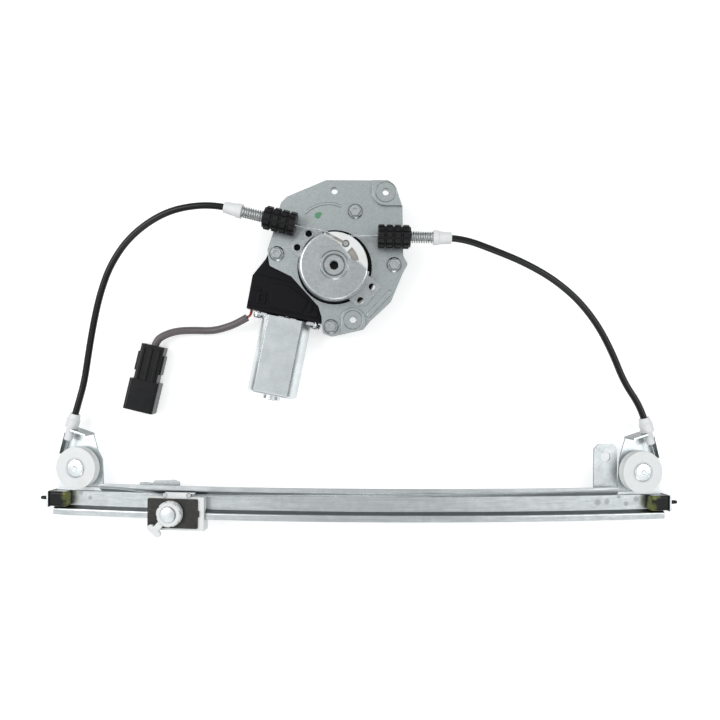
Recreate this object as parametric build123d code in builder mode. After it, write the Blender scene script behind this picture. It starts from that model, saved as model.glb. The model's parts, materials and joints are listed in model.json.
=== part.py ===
from build123d import *
import os
from math import asin, atan2, cos, degrees, pi, radians, sin, tan

os.makedirs("parts", exist_ok=True)

# Single rail cable window regulator, lying on its back. X runs along the rail, Y up the door,
# Z away from the surface it lies on. Sizes are in millimetres.

# Running and seating gaps
RUNNING_GAP = 0.05
SLIDE_GAP = 0.4
SEAT_GAP = 0.02
# a flat plate behind the curved web stands this far back, so that its ends stay clear
WELD_GAP = 0.21
END_TAB_OUT = 23.2

# Guide rail: a rolled channel of steel sheet, curved like the glass
RAIL_CHORD = 510.0
RAIL_RADIUS = 1400.0
RAIL_SHEET = 1.2
RAIL_DEPTH = 5.0
RAIL_BEND = 0.9
RAIL_TOP = 13.5
RAIL_BOTTOM = -13.5
LIP_TOP = 10.0
LIP_BOTTOM = -8.9
WEB_TOP = 6.9
WEB_BOTTOM = -6.7
RAIL_Y = -117.5
RAIL_MID_Z = 25.4
NOTCH_START = 213.6

# Pulley brackets and pulleys at both ends of the rail
BRACKET_SHEET = 1.5
PULLEY_X = 232.5
PULLEY_RISE = 26.4
PULLEY_RADIUS = 17.5
PULLEY_THICKNESS = 8.0
PULLEY_BORE = 4.1
GROOVE_RADIUS = 15.5
CABLE_RADIUS = 0.75
CABLE_HEIGHT = 7.4
FERRULE_TILT = 17.0
GUARD_HEIGHT = 9.0

# Lower ferrules of the cable sheaths
SEAT_DISTANCE = 28.5
NOSE_RADIUS = 3.35
NOSE_LENGTH = 11.0
COLLAR_RADIUS = 5.5
COLLAR_LENGTH = 12.0
SHEATH_RADIUS = 2.75
SOCKET_DEPTH = 4.0

# Bumpers and the rail mounting tab
BUMPER_INNER = 241.0
BUMPER_RISE = 0.4
TAB_CENTRE_X = 205.6
TAB_WIDTH = 20.6
TAB_TOP = 48.8
TAB_HOLE_RISE = 38.2
TAB_HOLE_RADIUS = 4.1

# Slider: nylon shoe, steel carrier plate, rear leaf and quarter turn knob
SLIDER_X = -147.3
SHOE_LENGTH = 45.4
SHOE_FRONT = 9.0
SHOE_BACK = -2.3
SHOE_BOTTOM = -22.3
SHOE_TOP = 6.4
LEAF_SHEET = 1.0
CARRIER_X = -150.4
CARRIER_WIDTH = 42.0
CARRIER_TOP = 3.7
CARRIER_BOTTOM = -20.3
CARRIER_SHEET = 1.5
KNOB_X = -151.8
KNOB_RISE = -8.1
KNOB_RADIUS = 10.4
KNOB_HEIGHT = 6.0
KNOB_SHAFT = 3.0
LEVER_ANGLE = 228.0
LEVER_REACH = 19.0

# Motor plate
HUB_X = -21.0
HUB_Y = 74.65
PLATE_BACK = 29.9
PLATE_SHEET = 1.5
DRUM_OPENING = 30.0
SCREW_CIRCLE = 48.0
SCREW_ANGLES = (167.2, 70.2, 2.8, 266.8)
EMBOSS_HEIGHT = 3.0
STUD_HOLE_RADIUS = 2.5
WELD_NUT_RADIUS = 6.0
WELD_NUT_LENGTH = 6.0
TOP_POINT = (-0.7, 61.8)
CORNER_PAD = (40.7, 60.6)
LOWER_PAD = (15.0, -42.4)

# Cable drum, its cover and the output shaft
DRUM_RADIUS = 26.6
DRUM_BOTTOM = 33.2
DRUM_TOP = 45.0
DRUM_GROOVES = 4
GROOVE_PITCH = 2.6
FIRST_GROOVE = 34.6
WIND_RADIUS = 24.3
COVER_SHEET = 1.2
COVER_TOP = 47.0
COVER_RADIUS = 28.2
EAR_ANGLE = 140.4
EAR_REACH = 39.0
EAR_HALF_WIDTH = 12.5
EYELET_CIRCLE = 34.0
EYELET_SPREAD = 12.3
SHAFT_RADIUS = 6.0

# Cable tensioners beside the drum
TENSIONER_Z = 41.1
LEFT_TILT = 13.5
RIGHT_TILT = -1.0
LEFT_SLEEVE_DISTANCE = 50.5
RIGHT_SLEEVE_DISTANCE = 47.0
SLEEVE_RADIUS = 9.5
SLEEVE_LENGTH = 26.0
SPRING_LENGTH = 18.0
SPRING_RADIUS = 4.2
SPRING_WIRE = 1.1
SPRING_TURNS = 9.0
GUIDE_TUBE_RADIUS = 3.0
UPPER_COLLAR_RADIUS = 6.0
UPPER_COLLAR_LENGTH = 14.5
GUIDE_TUBE_REACH = 12.0

# Worm gear motor behind the plate
MOTOR_TILT = 11.0
WORM_OFFSET = 31.0
WORM_Z = 15.6
WHEEL_TEETH = 60
WHEEL_THICKNESS = 7.0
CAN_START = 47.9
CAN_LENGTH = 64.0
CAN_RADIUS = 20.5
CAN_HALF_DEPTH = 15.3
CAN_WALL = 1.6
FLANGE_HALF_WIDTH = 28.2
CAN_SCREW_X = 24.2
HOUSING_BOTTOM = 2.0
HOUSING_RADIUS = 34.0

# Motor lead and its plug
LEAD_RADIUS = 3.15
WIRE_EXIT_X = -30.2
WIRE_RADIUS = 0.9
PLUG_WIDTH = 22.5
PLUG_DEPTH = 14.0
PLUG_LENGTH = 30.0
SHROUD_WIDTH = 25.0
SHROUD_DEPTH = 17.0
SHROUD_LENGTH = 26.0
PLUG_ANGLE = 12.9

RAIL_AXIS_Z = RAIL_MID_Z - RAIL_RADIUS
PLATE_FRONT = PLATE_BACK + PLATE_SHEET
UP = Vector(0, 0, 1)


def station(x, height=0.0):
    """The plane that touches the rail's back at x, with its sketch x along the rail and y up the door."""
    turn = asin(x / RAIL_RADIUS)
    normal = Vector(sin(turn), 0, cos(turn))
    along = Vector(cos(turn), 0, -sin(turn))
    centre = Vector(0, RAIL_Y, RAIL_AXIS_Z)
    return Plane(origin=centre + normal * (RAIL_RADIUS + height), x_dir=along, z_dir=normal)


def side_plane(base):
    """The plane that cuts a turned piece along its axis: sketch x is the radius and y the height."""
    return Plane(origin=base.origin, x_dir=base.x_dir, z_dir=base.y_dir * -1)


def across_plane(base):
    """The plane across the rail: sketch x runs up the door and y away from the rail's back."""
    return Plane(origin=base.origin, x_dir=base.y_dir, z_dir=base.x_dir)


def point_on(plane, x, y, z=0.0):
    """A point of the part from a plane's own coordinates."""
    return plane.from_local_coords(Vector(x, y, z))


def turned(base, profile):
    """A solid of revolution about the plane's normal, from points of radius and height."""
    with BuildPart() as piece:
        with BuildSketch(side_plane(base)):
            Polygon(*profile, align=None)
        revolve(axis=Axis(base.origin, base.z_dir))
    return piece.part


def save(solid, name):
    solid.label = name
    export_step(solid, f"parts/{name}.step")


def corner_radii(points, held=None):
    """The arc at each corner of a cord: 0.45 of the shorter run over the tangent of half the turn."""
    held = held or {}
    radii = []
    for i in range(1, len(points) - 1):
        before = points[i] - points[i - 1]
        after = points[i + 1] - points[i]
        half_turn = radians(before.get_angle(after)) / 2
        radii.append(held.get(i, 0.45 * min(before.length, after.length) / tan(half_turn)))
    return radii


def cord(points, radius, name, held=None):
    """A round cord along straight runs joined by arcs that touch them."""
    route = [Vector(*p) if isinstance(p, tuple) else p for p in points]
    radii = corner_radii(route, held)
    print(name, "radii", [round(r, 1) for r in radii])
    with BuildPart() as piece:
        with BuildLine() as path:
            FilletPolyline(*route, radius=radii)
        with BuildSketch(Plane(origin=route[0], z_dir=route[1] - route[0])):
            Circle(radius)
        sweep(path=path.wires()[0])
    run = path.wires()[0].length
    ratio = piece.part.volume / (pi * radius**2 * run)
    print(name, "length", round(run, 1), "volume ratio", round(ratio, 4))
    return piece.part


# Guide rail
left_end = station(-RAIL_CHORD / 2)
rail_turn = 2 * degrees(asin(RAIL_CHORD / 2 / RAIL_RADIUS))
with BuildPart() as guide_rail:
    with BuildSketch(across_plane(left_end)):
        with BuildLine():
            FilletPolyline(
                (RAIL_TOP, RAIL_DEPTH),
                (LIP_TOP, RAIL_DEPTH),
                (WEB_TOP, 0),
                (WEB_BOTTOM, 0),
                (LIP_BOTTOM, RAIL_DEPTH),
                (RAIL_BOTTOM, RAIL_DEPTH),
                radius=RAIL_BEND,
            )
            offset(amount=RAIL_SHEET, side=Side.RIGHT)
        make_face()
    revolve(axis=Axis((0, RAIL_Y, RAIL_AXIS_Z), (0, 1, 0)), revolution_arc=rail_turn)
    for side in (-1, 1):
        with BuildSketch(station(side * PULLEY_X, -RAIL_SHEET)):
            with Locations((side * (NOTCH_START - PULLEY_X), WEB_TOP - 0.2)):
                Rectangle(
                    RAIL_CHORD / 2 - NOTCH_START + 10,
                    RAIL_TOP - WEB_TOP + 2,
                    align=(Align.MIN if side > 0 else Align.MAX, Align.MIN),
                )
        extrude(amount=RAIL_DEPTH + 3 * RAIL_SHEET, mode=Mode.SUBTRACT)
save(guide_rail.part, "guide_rail")

# Rail mounting tab, welded behind the web near the right end
tab_base = station(TAB_CENTRE_X)
with BuildPart() as rail_mounting_tab:
    with BuildSketch(tab_base.offset(-BRACKET_SHEET - 0.06)) as tab_outline:
        with Locations((0, WEB_BOTTOM + 1)):
            Rectangle(TAB_WIDTH, TAB_TOP - WEB_BOTTOM - 1, align=(Align.CENTER, Align.MIN))
        chamfer(tab_outline.vertices().group_by(Axis.Y)[-1], 4)
        with Locations((0, TAB_HOLE_RISE)):
            Circle(TAB_HOLE_RADIUS, mode=Mode.SUBTRACT)
    extrude(amount=BRACKET_SHEET)
save(rail_mounting_tab.part, "rail_mounting_tab")

# End hardware, made for one end and mirrored by the sign of its sketch x
tilt = radians(FERRULE_TILT)
# where the straight cable leaves the pulley groove, out from the pulley and up from the rail
TANGENT_OUT = GROOVE_RADIUS * cos(tilt)
TANGENT_RISE = PULLEY_RISE + GROOVE_RADIUS * sin(tilt)


def ferrule_point(distance):
    """A point of the lower ferrule's axis, that far above the pulley's tangent point."""
    return (TANGENT_OUT - distance * sin(tilt), TANGENT_RISE + distance * cos(tilt))


def ferrule_plane(side, distance):
    """The plane square to the lower ferrule's axis, facing up its sheath."""
    base = station(side * PULLEY_X)
    out, rise = ferrule_point(distance)
    origin = point_on(base, side * out, rise, CABLE_HEIGHT)
    ahead = point_on(base, side * (out - sin(tilt)), rise + cos(tilt), CABLE_HEIGHT)
    return Plane(origin=origin, x_dir=base.z_dir, z_dir=ahead - origin)


lower_routes = {}
for side, hand, inner_edge in ((-1, "left", -18.9), (1, "right", -16.3)):
    base = station(side * PULLEY_X)
    wall_back = base.offset(-BRACKET_SHEET - WELD_GAP)
    seat_out, seat_rise = ferrule_point(SEAT_DISTANCE)
    slope = tan(tilt)
    flange_inner = (-9.7, seat_rise - (seat_out + 9.7) * slope)
    flange_outer = (9.2, seat_rise - (seat_out - 9.2) * slope)
    guard_top = (12.4, 54.6)
    guard_bottom = (17.0, 37.3)
    with BuildPart() as pulley_bracket:
        outline = [
            (inner_edge, WEB_BOTTOM + 0.5),
            (inner_edge, 9.9),
            (inner_edge + 1.2, 33.1),
            (-13.6, 40.5),
            flange_inner,
            flange_outer,
            guard_top,
            guard_bottom,
            (18.6, 22.5),
            (23.1, 22.5),
            (23.1, 17.5),
            (18.6, 17.5),
            (END_TAB_OUT, 6.9),
            (END_TAB_OUT, WEB_BOTTOM + 0.5),
        ]
        with BuildSketch(wall_back):
            Polygon(*[(side * x, y) for x, y in outline], align=None)
        extrude(amount=BRACKET_SHEET)
        # flange that holds the ferrule, folded towards the front
        across = Vector(cos(tilt), sin(tilt))
        up = Vector(-sin(tilt), cos(tilt)) * BRACKET_SHEET
        flange = [
            Vector(*flange_inner),
            Vector(*flange_outer),
            Vector(*flange_outer) + up,
            Vector(*flange_inner) + up,
        ]
        with BuildSketch(wall_back):
            Polygon(*[(side * p.X, p.Y) for p in flange], align=None)
        extrude(amount=CABLE_HEIGHT + 7 + BRACKET_SHEET)
        # guard beside the pulley, folded the same way
        guard_line = (Vector(*guard_bottom) - Vector(*guard_top)).normalized()
        guard_step = Vector(-guard_line.Y, guard_line.X) * BRACKET_SHEET
        guard = [
            Vector(*guard_top),
            Vector(*guard_bottom),
            Vector(*guard_bottom) + guard_step,
            Vector(*guard_top) + guard_step,
        ]
        with BuildSketch(wall_back):
            Polygon(*[(side * p.X, p.Y) for p in guard], align=None)
        extrude(amount=GUARD_HEIGHT)
        # end tab across the channel, which carries the bumper
        with BuildSketch(wall_back):
            with Locations((side * END_TAB_OUT, WEB_BOTTOM + 0.5)):
                Rectangle(
                    BRACKET_SHEET,
                    13.1,
                    align=(Align.MIN if side > 0 else Align.MAX, Align.MIN),
                )
        extrude(amount=BRACKET_SHEET + 13.5)
        tail_centre = point_on(base, side * END_TAB_OUT, BUMPER_RISE, 6.6)
        with BuildSketch(Plane(origin=tail_centre, z_dir=base.x_dir)):
            Circle(2.1)
        extrude(amount=4, both=True, mode=Mode.SUBTRACT)
        # open slot for the ferrule's nose
        slot_plane = ferrule_plane(side, SEAT_DISTANCE)
        with BuildSketch(slot_plane):
            Circle(NOSE_RADIUS + RUNNING_GAP)
            with Locations((10, 0)):
                Rectangle(20, 2 * (NOSE_RADIUS + RUNNING_GAP))
        extrude(amount=BRACKET_SHEET * 2, both=True, mode=Mode.SUBTRACT)
        # hole for the pulley rivet
        with BuildSketch(wall_back):
            with Locations((0, PULLEY_RISE)):
                Circle(PULLEY_BORE)
        extrude(amount=BRACKET_SHEET, mode=Mode.SUBTRACT)
    save(pulley_bracket.part, f"{hand}_pulley_bracket")

    # shouldered rivet on which the pulley turns
    pin_base = Plane(origin=point_on(base, 0, PULLEY_RISE, 0), x_dir=base.x_dir, z_dir=base.z_dir)
    pulley_back = CABLE_HEIGHT - PULLEY_THICKNESS / 2
    pulley_front = CABLE_HEIGHT + PULLEY_THICKNESS / 2
    pin = PULLEY_BORE - RUNNING_GAP
    rivet_low = -BRACKET_SHEET - WELD_GAP - SEAT_GAP
    rivet = turned(
        pin_base,
        [
            (0, rivet_low - 1.2),
            (5.4, rivet_low - 1.2),
            (5.8, rivet_low),
            (pin, rivet_low),
            (pin, SEAT_GAP - WELD_GAP),
            (8.0, SEAT_GAP - WELD_GAP),
            (8.0, pulley_back - 0.1),
            (pin, pulley_back - 0.1),
            (pin, pulley_front + 0.1),
            (7.6, pulley_front + 0.1),
            (7.6, pulley_front + 0.7),
            (6.4, pulley_front + 1.3),
            (2.0, pulley_front + 1.5),
            (1.4, pulley_front + 0.9),
            (0, pulley_front + 0.9),
        ],
    )
    save(rivet, f"{hand}_pulley_rivet")

    # grooved nylon pulley
    floor = GROOVE_RADIUS - CABLE_RADIUS - 0.1
    pulley = turned(
        pin_base,
        [
            (PULLEY_BORE, pulley_back),
            (9.5, pulley_back),
            (9.5, pulley_back + 1.4),
            (12.3, pulley_back + 1.4),
            (13.0, pulley_back),
            (PULLEY_RADIUS - 0.5, pulley_back),
            (PULLEY_RADIUS, pulley_back + 0.6),
            (floor, CABLE_HEIGHT - CABLE_RADIUS - 0.1),
            (floor, CABLE_HEIGHT + CABLE_RADIUS + 0.1),
            (PULLEY_RADIUS, pulley_front - 0.6),
            (PULLEY_RADIUS - 0.5, pulley_front),
            (14.6, pulley_front),
            (13.8, pulley_front - 1.2),
            (10.0, pulley_front - 1.2),
            (9.4, pulley_front - 0.3),
            (PULLEY_BORE, pulley_front - 0.3),
        ],
    )
    save(pulley, f"{hand}_pulley")

    # lower ferrule: collar above the flange, nose through its slot
    seat_top = ferrule_plane(side, SEAT_DISTANCE + BRACKET_SHEET + SEAT_GAP)
    lower_ferrule = turned(
        seat_top,
        [
            (CABLE_RADIUS + 0.15, -NOSE_LENGTH),
            (NOSE_RADIUS - 0.6, -NOSE_LENGTH),
            (NOSE_RADIUS, -NOSE_LENGTH + 1),
            (NOSE_RADIUS, 0),
            (COLLAR_RADIUS, 0),
            (COLLAR_RADIUS, COLLAR_LENGTH - 4.5),
            (COLLAR_RADIUS - 0.6, COLLAR_LENGTH - 4),
            (COLLAR_RADIUS - 1.2, COLLAR_LENGTH),
            (SHEATH_RADIUS + 0.1, COLLAR_LENGTH),
            (SHEATH_RADIUS + 0.1, COLLAR_LENGTH - SOCKET_DEPTH),
            (CABLE_RADIUS + 0.15, COLLAR_LENGTH - SOCKET_DEPTH),
        ],
    )
    save(lower_ferrule, f"{hand}_lower_ferrule")
    sheath_seat = point_on(seat_top, 0, 0, COLLAR_LENGTH - SOCKET_DEPTH)
    sheath_lead = point_on(seat_top, 0, 0, COLLAR_LENGTH + 9)
    cable_start = point_on(seat_top, 0, 0, COLLAR_LENGTH - SOCKET_DEPTH - 0.1)

    # rubber bumper with a pull-through tail
    bumper_base = Plane(
        origin=point_on(base, side * (BUMPER_INNER - PULLEY_X), BUMPER_RISE, 6.6),
        x_dir=base.z_dir,
        z_dir=base.x_dir * side,
    )
    tab_face = END_TAB_OUT - (BUMPER_INNER - PULLEY_X)
    with BuildPart() as bumper:
        with BuildSketch(bumper_base) as bumper_face:
            RectangleRounded(10.2, 12.6, 2.2)
        extrude(amount=tab_face - 0.05)
        fillet(bumper.faces().sort_by(Axis(bumper_base.origin, bumper_base.z_dir))[0].edges(), 1.2)
        with BuildSketch(side_plane(bumper_base)):
            Polygon(
                (0, tab_face - 0.5),
                (2.0, tab_face - 0.5),
                (2.0, tab_face + BRACKET_SHEET + 0.1),
                (2.9, tab_face + BRACKET_SHEET + 0.1),
                (1.7, tab_face + BRACKET_SHEET + 3.6),
                (1.5, tab_face + BRACKET_SHEET + 8),
                (0.7, tab_face + BRACKET_SHEET + 8.9),
                (0, tab_face + BRACKET_SHEET + 8.9),
                align=None,
            )
        revolve(axis=Axis(bumper_base.origin, bumper_base.z_dir))
    save(bumper.part, f"{hand}_bumper")

    # route of the bare cable from the ferrule round the pulley and along the rail
    wrap = radians(FERRULE_TILT + 90) / 2
    corner = GROOVE_RADIUS / cos(wrap / 2)
    angles = (tilt - wrap / 2, tilt - 1.5 * wrap)
    start = cable_start
    wrap_points = [
        point_on(base, side * corner * cos(a), PULLEY_RISE + corner * sin(a), CABLE_HEIGHT) for a in angles
    ]
    lower_routes[hand] = [start] + wrap_points
    if hand == "left":
        left_seat, left_lead = sheath_seat, sheath_lead
    else:
        right_seat, right_lead = sheath_seat, sheath_lead

# Cable ends in the shoe: each nipple sits in a pocket at its top edge
NIPPLE_RISE = 6.2
# room for the cable's slope between its nipple and the end of the shoe
NIPPLE_SLOPE = {"left": 2.4, "right": 0.4}
SLOT_DEEPER = 0.6
NIPPLE_X = {"left": SLIDER_X - 10.0, "right": SLIDER_X + 10.0}
run_low = PULLEY_RISE - GROOVE_RADIUS


def rail_point(x, rise, height=CABLE_HEIGHT):
    """A point in front of the rail's web."""
    return point_on(station(x), 0, rise, height)


right_start = PULLEY_X - GROOVE_RADIUS * tan(wrap / 2) * 2.3
right_stop = NIPPLE_X["right"] + 1.85
RUNS = 8
right_xs = [right_start + (right_stop - right_start) * i / RUNS for i in range(RUNS + 1)]
right_rises = [run_low + (NIPPLE_RISE - run_low) * i / RUNS for i in range(RUNS + 1)]
lower_routes["right"] += [rail_point(x, r) for x, r in zip(right_xs, right_rises)]
left_start = -right_start
left_stop = NIPPLE_X["left"] - 1.85
lower_routes["left"] += [
    rail_point(left_start, run_low),
    rail_point((left_start + left_stop) / 2, run_low - 0.8),
    rail_point(left_stop, NIPPLE_RISE),
]
for hand in ("left", "right"):
    held = {1: GROOVE_RADIUS * 0.985, 2: GROOVE_RADIUS * 0.985}
    save(cord(lower_routes[hand], CABLE_RADIUS, f"{hand}_rail_cable", held), f"{hand}_rail_cable")

# Slider shoe, which grips the lower lip and runs in the channel
shoe_base = station(SLIDER_X)
lip_back = RAIL_DEPTH
lip_front = RAIL_DEPTH + RAIL_SHEET
with BuildPart() as slider_shoe:
    with BuildSketch(across_plane(shoe_base)):
        Polygon(
            (SHOE_TOP, SHOE_FRONT),
            (SHOE_BOTTOM, SHOE_FRONT),
            (SHOE_BOTTOM, SHOE_BACK),
            (RAIL_BOTTOM - SLIDE_GAP, SHOE_BACK),
            (LIP_BOTTOM - 2.2, SHOE_BACK),
            (LIP_BOTTOM - 2.2, lip_back - SLIDE_GAP - 0.1),
            (RAIL_BOTTOM - SLIDE_GAP, lip_back - SLIDE_GAP - 0.1),
            (RAIL_BOTTOM - SLIDE_GAP, lip_front + SLIDE_GAP),
            (LIP_BOTTOM + 0.7, lip_front + SLIDE_GAP),
            (WEB_BOTTOM + 2.4, RAIL_SHEET + SLIDE_GAP),
            (WEB_TOP - 2.4, RAIL_SHEET + SLIDE_GAP),
            (SHOE_TOP, lip_front - 0.6),
            align=None,
        )
    extrude(amount=SHOE_LENGTH / 2, both=True)
    # head that holds both cable nipples, above the top lip
    with BuildSketch(shoe_base.offset(lip_front + SLIDE_GAP)):
        with Locations((0, SHOE_TOP)):
            Rectangle(30, 2.2, align=(Align.CENTER, Align.MIN))
    extrude(amount=SHOE_FRONT - lip_front - SLIDE_GAP)
    for hand in ("left", "right"):
        with BuildSketch(shoe_base.offset(lip_front + SLIDE_GAP)):
            with Locations((NIPPLE_X[hand] - SLIDER_X, NIPPLE_RISE)):
                Circle(2.1)
        extrude(amount=SHOE_FRONT - lip_front, mode=Mode.SUBTRACT)
        with BuildSketch(shoe_base.offset(lip_front + SLIDE_GAP - SLOT_DEEPER)):
            out = -1 if hand == "left" else 1
            with Locations((NIPPLE_X[hand] - SLIDER_X + out * 8, NIPPLE_RISE + NIPPLE_SLOPE[hand] / 2)):
                Rectangle(16, 2 * CABLE_RADIUS + 0.5 + NIPPLE_SLOPE[hand])
        extrude(amount=SHOE_FRONT - lip_front + SLOT_DEEPER, mode=Mode.SUBTRACT)
    # recess for the knob's spring clip and the bore for its shaft
    with BuildSketch(shoe_base.offset(SHOE_FRONT)):
        with Locations((KNOB_X - SLIDER_X, KNOB_RISE)):
            Circle(5.6)
    extrude(amount=-1.9, mode=Mode.SUBTRACT)
save(slider_shoe.part, "slider_shoe")

# Steel carrier plate on the shoe, to which the window glass is fixed
with BuildPart() as carrier_plate:
    with BuildSketch(shoe_base.offset(SHOE_FRONT + SEAT_GAP)) as carrier_outline:
        with Locations((CARRIER_X - SLIDER_X, (CARRIER_TOP + CARRIER_BOTTOM) / 2)):
            RectangleRounded(CARRIER_WIDTH, CARRIER_TOP - CARRIER_BOTTOM, 1.2)
        with Locations((CARRIER_X - SLIDER_X + CARRIER_WIDTH / 2, CARRIER_BOTTOM + 12)):
            Rectangle(2.4, 5)
        with Locations((KNOB_X - SLIDER_X, KNOB_RISE)):
            Circle(KNOB_SHAFT + RUNNING_GAP, mode=Mode.SUBTRACT)
    extrude(amount=CARRIER_SHEET)
save(carrier_plate.part, "carrier_plate")

# Spring leaf behind the rail, riveted to the shoe's jaw
with BuildPart() as slider_leaf:
    with BuildSketch(shoe_base.offset(SHOE_BACK - SEAT_GAP - LEAF_SHEET)):
        Polygon(
            (-20, -21),
            (8, -21),
            (8, -12),
            (-1.5, -6),
            (-1.5, 15.4),
            (-6, 17.2),
            (-23.5, 16.2),
            (-24.5, 13.9),
            (-30, 14.8),
            (-36, 14.6),
            (-36, 11),
            (-20, 9),
            align=None,
        )
    extrude(amount=LEAF_SHEET)
save(slider_leaf.part, "slider_leaf")

leaf_back = SHOE_BACK - SEAT_GAP - LEAF_SHEET
rivets = []
for x in (-14.0, 2.0):
    rivet_base = Plane(origin=point_on(shoe_base, x, -18.2, 0), x_dir=shoe_base.x_dir, z_dir=shoe_base.z_dir)
    rivets.append(
        turned(
            rivet_base,
            [(0, leaf_back - 0.9), (1.6, leaf_back - 0.9), (2.4, leaf_back - 0.02), (0, leaf_back - 0.02)],
        )
    )
save(Compound(children=rivets), "leaf_rivets")

# Quarter turn knob with its lever and shaft
knob_plane = Plane(
    origin=point_on(shoe_base, KNOB_X - SLIDER_X, KNOB_RISE, SHOE_FRONT + SEAT_GAP + CARRIER_SHEET + 0.2),
    x_dir=shoe_base.x_dir,
    z_dir=shoe_base.z_dir,
)
lever = radians(LEVER_ANGLE)
lever_plane = Plane(
    origin=knob_plane.origin,
    x_dir=knob_plane.x_dir * cos(lever) + knob_plane.y_dir * sin(lever),
    z_dir=knob_plane.z_dir,
)
shaft_end = -CARRIER_SHEET - 2.0
with BuildPart() as lock_knob:
    with BuildSketch(side_plane(knob_plane)):
        Polygon(
            (0, shaft_end),
            (KNOB_SHAFT - 0.6, shaft_end),
            (KNOB_SHAFT - 0.6, shaft_end + 0.5),
            (KNOB_SHAFT - 0.9, shaft_end + 0.5),
            (KNOB_SHAFT - 0.9, shaft_end + 1.2),
            (KNOB_SHAFT, shaft_end + 1.2),
            (KNOB_SHAFT, 0),
            (KNOB_RADIUS, 0),
            (KNOB_RADIUS, KNOB_HEIGHT - 1.2),
            (KNOB_RADIUS - 1.2, KNOB_HEIGHT),
            (6.8, KNOB_HEIGHT),
            (6.0, KNOB_HEIGHT - 0.8),
            (5.2, KNOB_HEIGHT - 0.8),
            (4.4, KNOB_HEIGHT + 0.3),
            (2.4, KNOB_HEIGHT + 1.3),
            (0.6, KNOB_HEIGHT + 1.6),
            (0, KNOB_HEIGHT + 1.6),
            align=None,
        )
    revolve(axis=Axis(knob_plane.origin, knob_plane.z_dir))
    # rim notches for the fingers
    with BuildSketch(knob_plane.offset(1.6)):
        with PolarLocations(KNOB_RADIUS, 8, start_angle=12):
            Rectangle(1.6, 2.4)
    extrude(amount=KNOB_HEIGHT, mode=Mode.SUBTRACT)
    # lever with its hammer-shaped end
    with BuildSketch(lever_plane.offset(0.6)) as lever_outline:
        with Locations((KNOB_RADIUS - 1, 0)):
            Rectangle(LEVER_REACH - KNOB_RADIUS + 1, 5.0, align=(Align.MIN, Align.CENTER))
        with Locations((LEVER_REACH, 0)):
            SlotOverall(13, 5.2, rotation=90)
    extrude(amount=3.2)
save(lock_knob.part, "lock_knob")

clip_plane = knob_plane.offset(shaft_end + 0.55)
with BuildPart() as knob_clip:
    with BuildSketch(clip_plane):
        Circle(4.6)
        Circle(KNOB_SHAFT - 0.85, mode=Mode.SUBTRACT)
        with Locations((3, 0)):
            Rectangle(6, 2.8, mode=Mode.SUBTRACT)
    extrude(amount=0.6)
save(knob_clip.part, "knob_clip")

# Cable nipples in the shoe
for hand in ("left", "right"):
    nipple_base = Plane(
        origin=point_on(shoe_base, NIPPLE_X[hand] - SLIDER_X, NIPPLE_RISE, lip_front + SLIDE_GAP),
        x_dir=shoe_base.x_dir,
        z_dir=shoe_base.z_dir,
    )
    nipple_top = SHOE_FRONT - lip_front - SLIDE_GAP - 0.2
    save(turned(nipple_base, [(0, 0), (1.8, 0), (1.8, nipple_top), (0, nipple_top)]), f"{hand}_shoe_nipple")

# Motor plate
hub = Plane(origin=(HUB_X, HUB_Y, 0), x_dir=(1, 0, 0), z_dir=(0, 0, 1))
PLATE_OUTLINE = [
    (-43.9, 51.8),
    (-38.8, 56.9),
    (-7.3, 70.4),
    (43.6, 70.4),
    (49.2, 64.8),
    (54.4, 49.5),
    (55.2, 13.8),
    (55.4, 9.5),
    (59.2, 3.0),
    (55.2, -4.0),
    (45.5, -27.8),
    (28.8, -43.6),
    (23.4, -50.2),
    (-1.8, -56.1),
    (-9.4, -53.4),
    (-10.3, -40.0),
    (-12.9, -31.6),
    (-35.1, -7.5),
    (-52.6, 0.9),
    (-54.5, 13.8),
    (-49.0, 30.5),
]
left_dir = radians(180 - LEFT_TILT)
right_dir = radians(RIGHT_TILT)


def tensioner_plane(hand, distance):
    """The plane square to a tensioner's axis, facing away from the drum. Sketch y points to the front."""
    angle = left_dir if hand == "left" else right_dir
    turn = 1 if hand == "left" else -1
    heading = Vector(cos(angle), sin(angle), 0)
    foot = Vector(heading.Y, -heading.X, 0) * WIND_RADIUS * turn
    origin = Vector(HUB_X, HUB_Y, TENSIONER_Z) + foot + heading * distance
    return Plane(origin=origin, x_dir=Vector(-heading.Y, heading.X, 0), z_dir=heading)


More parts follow.
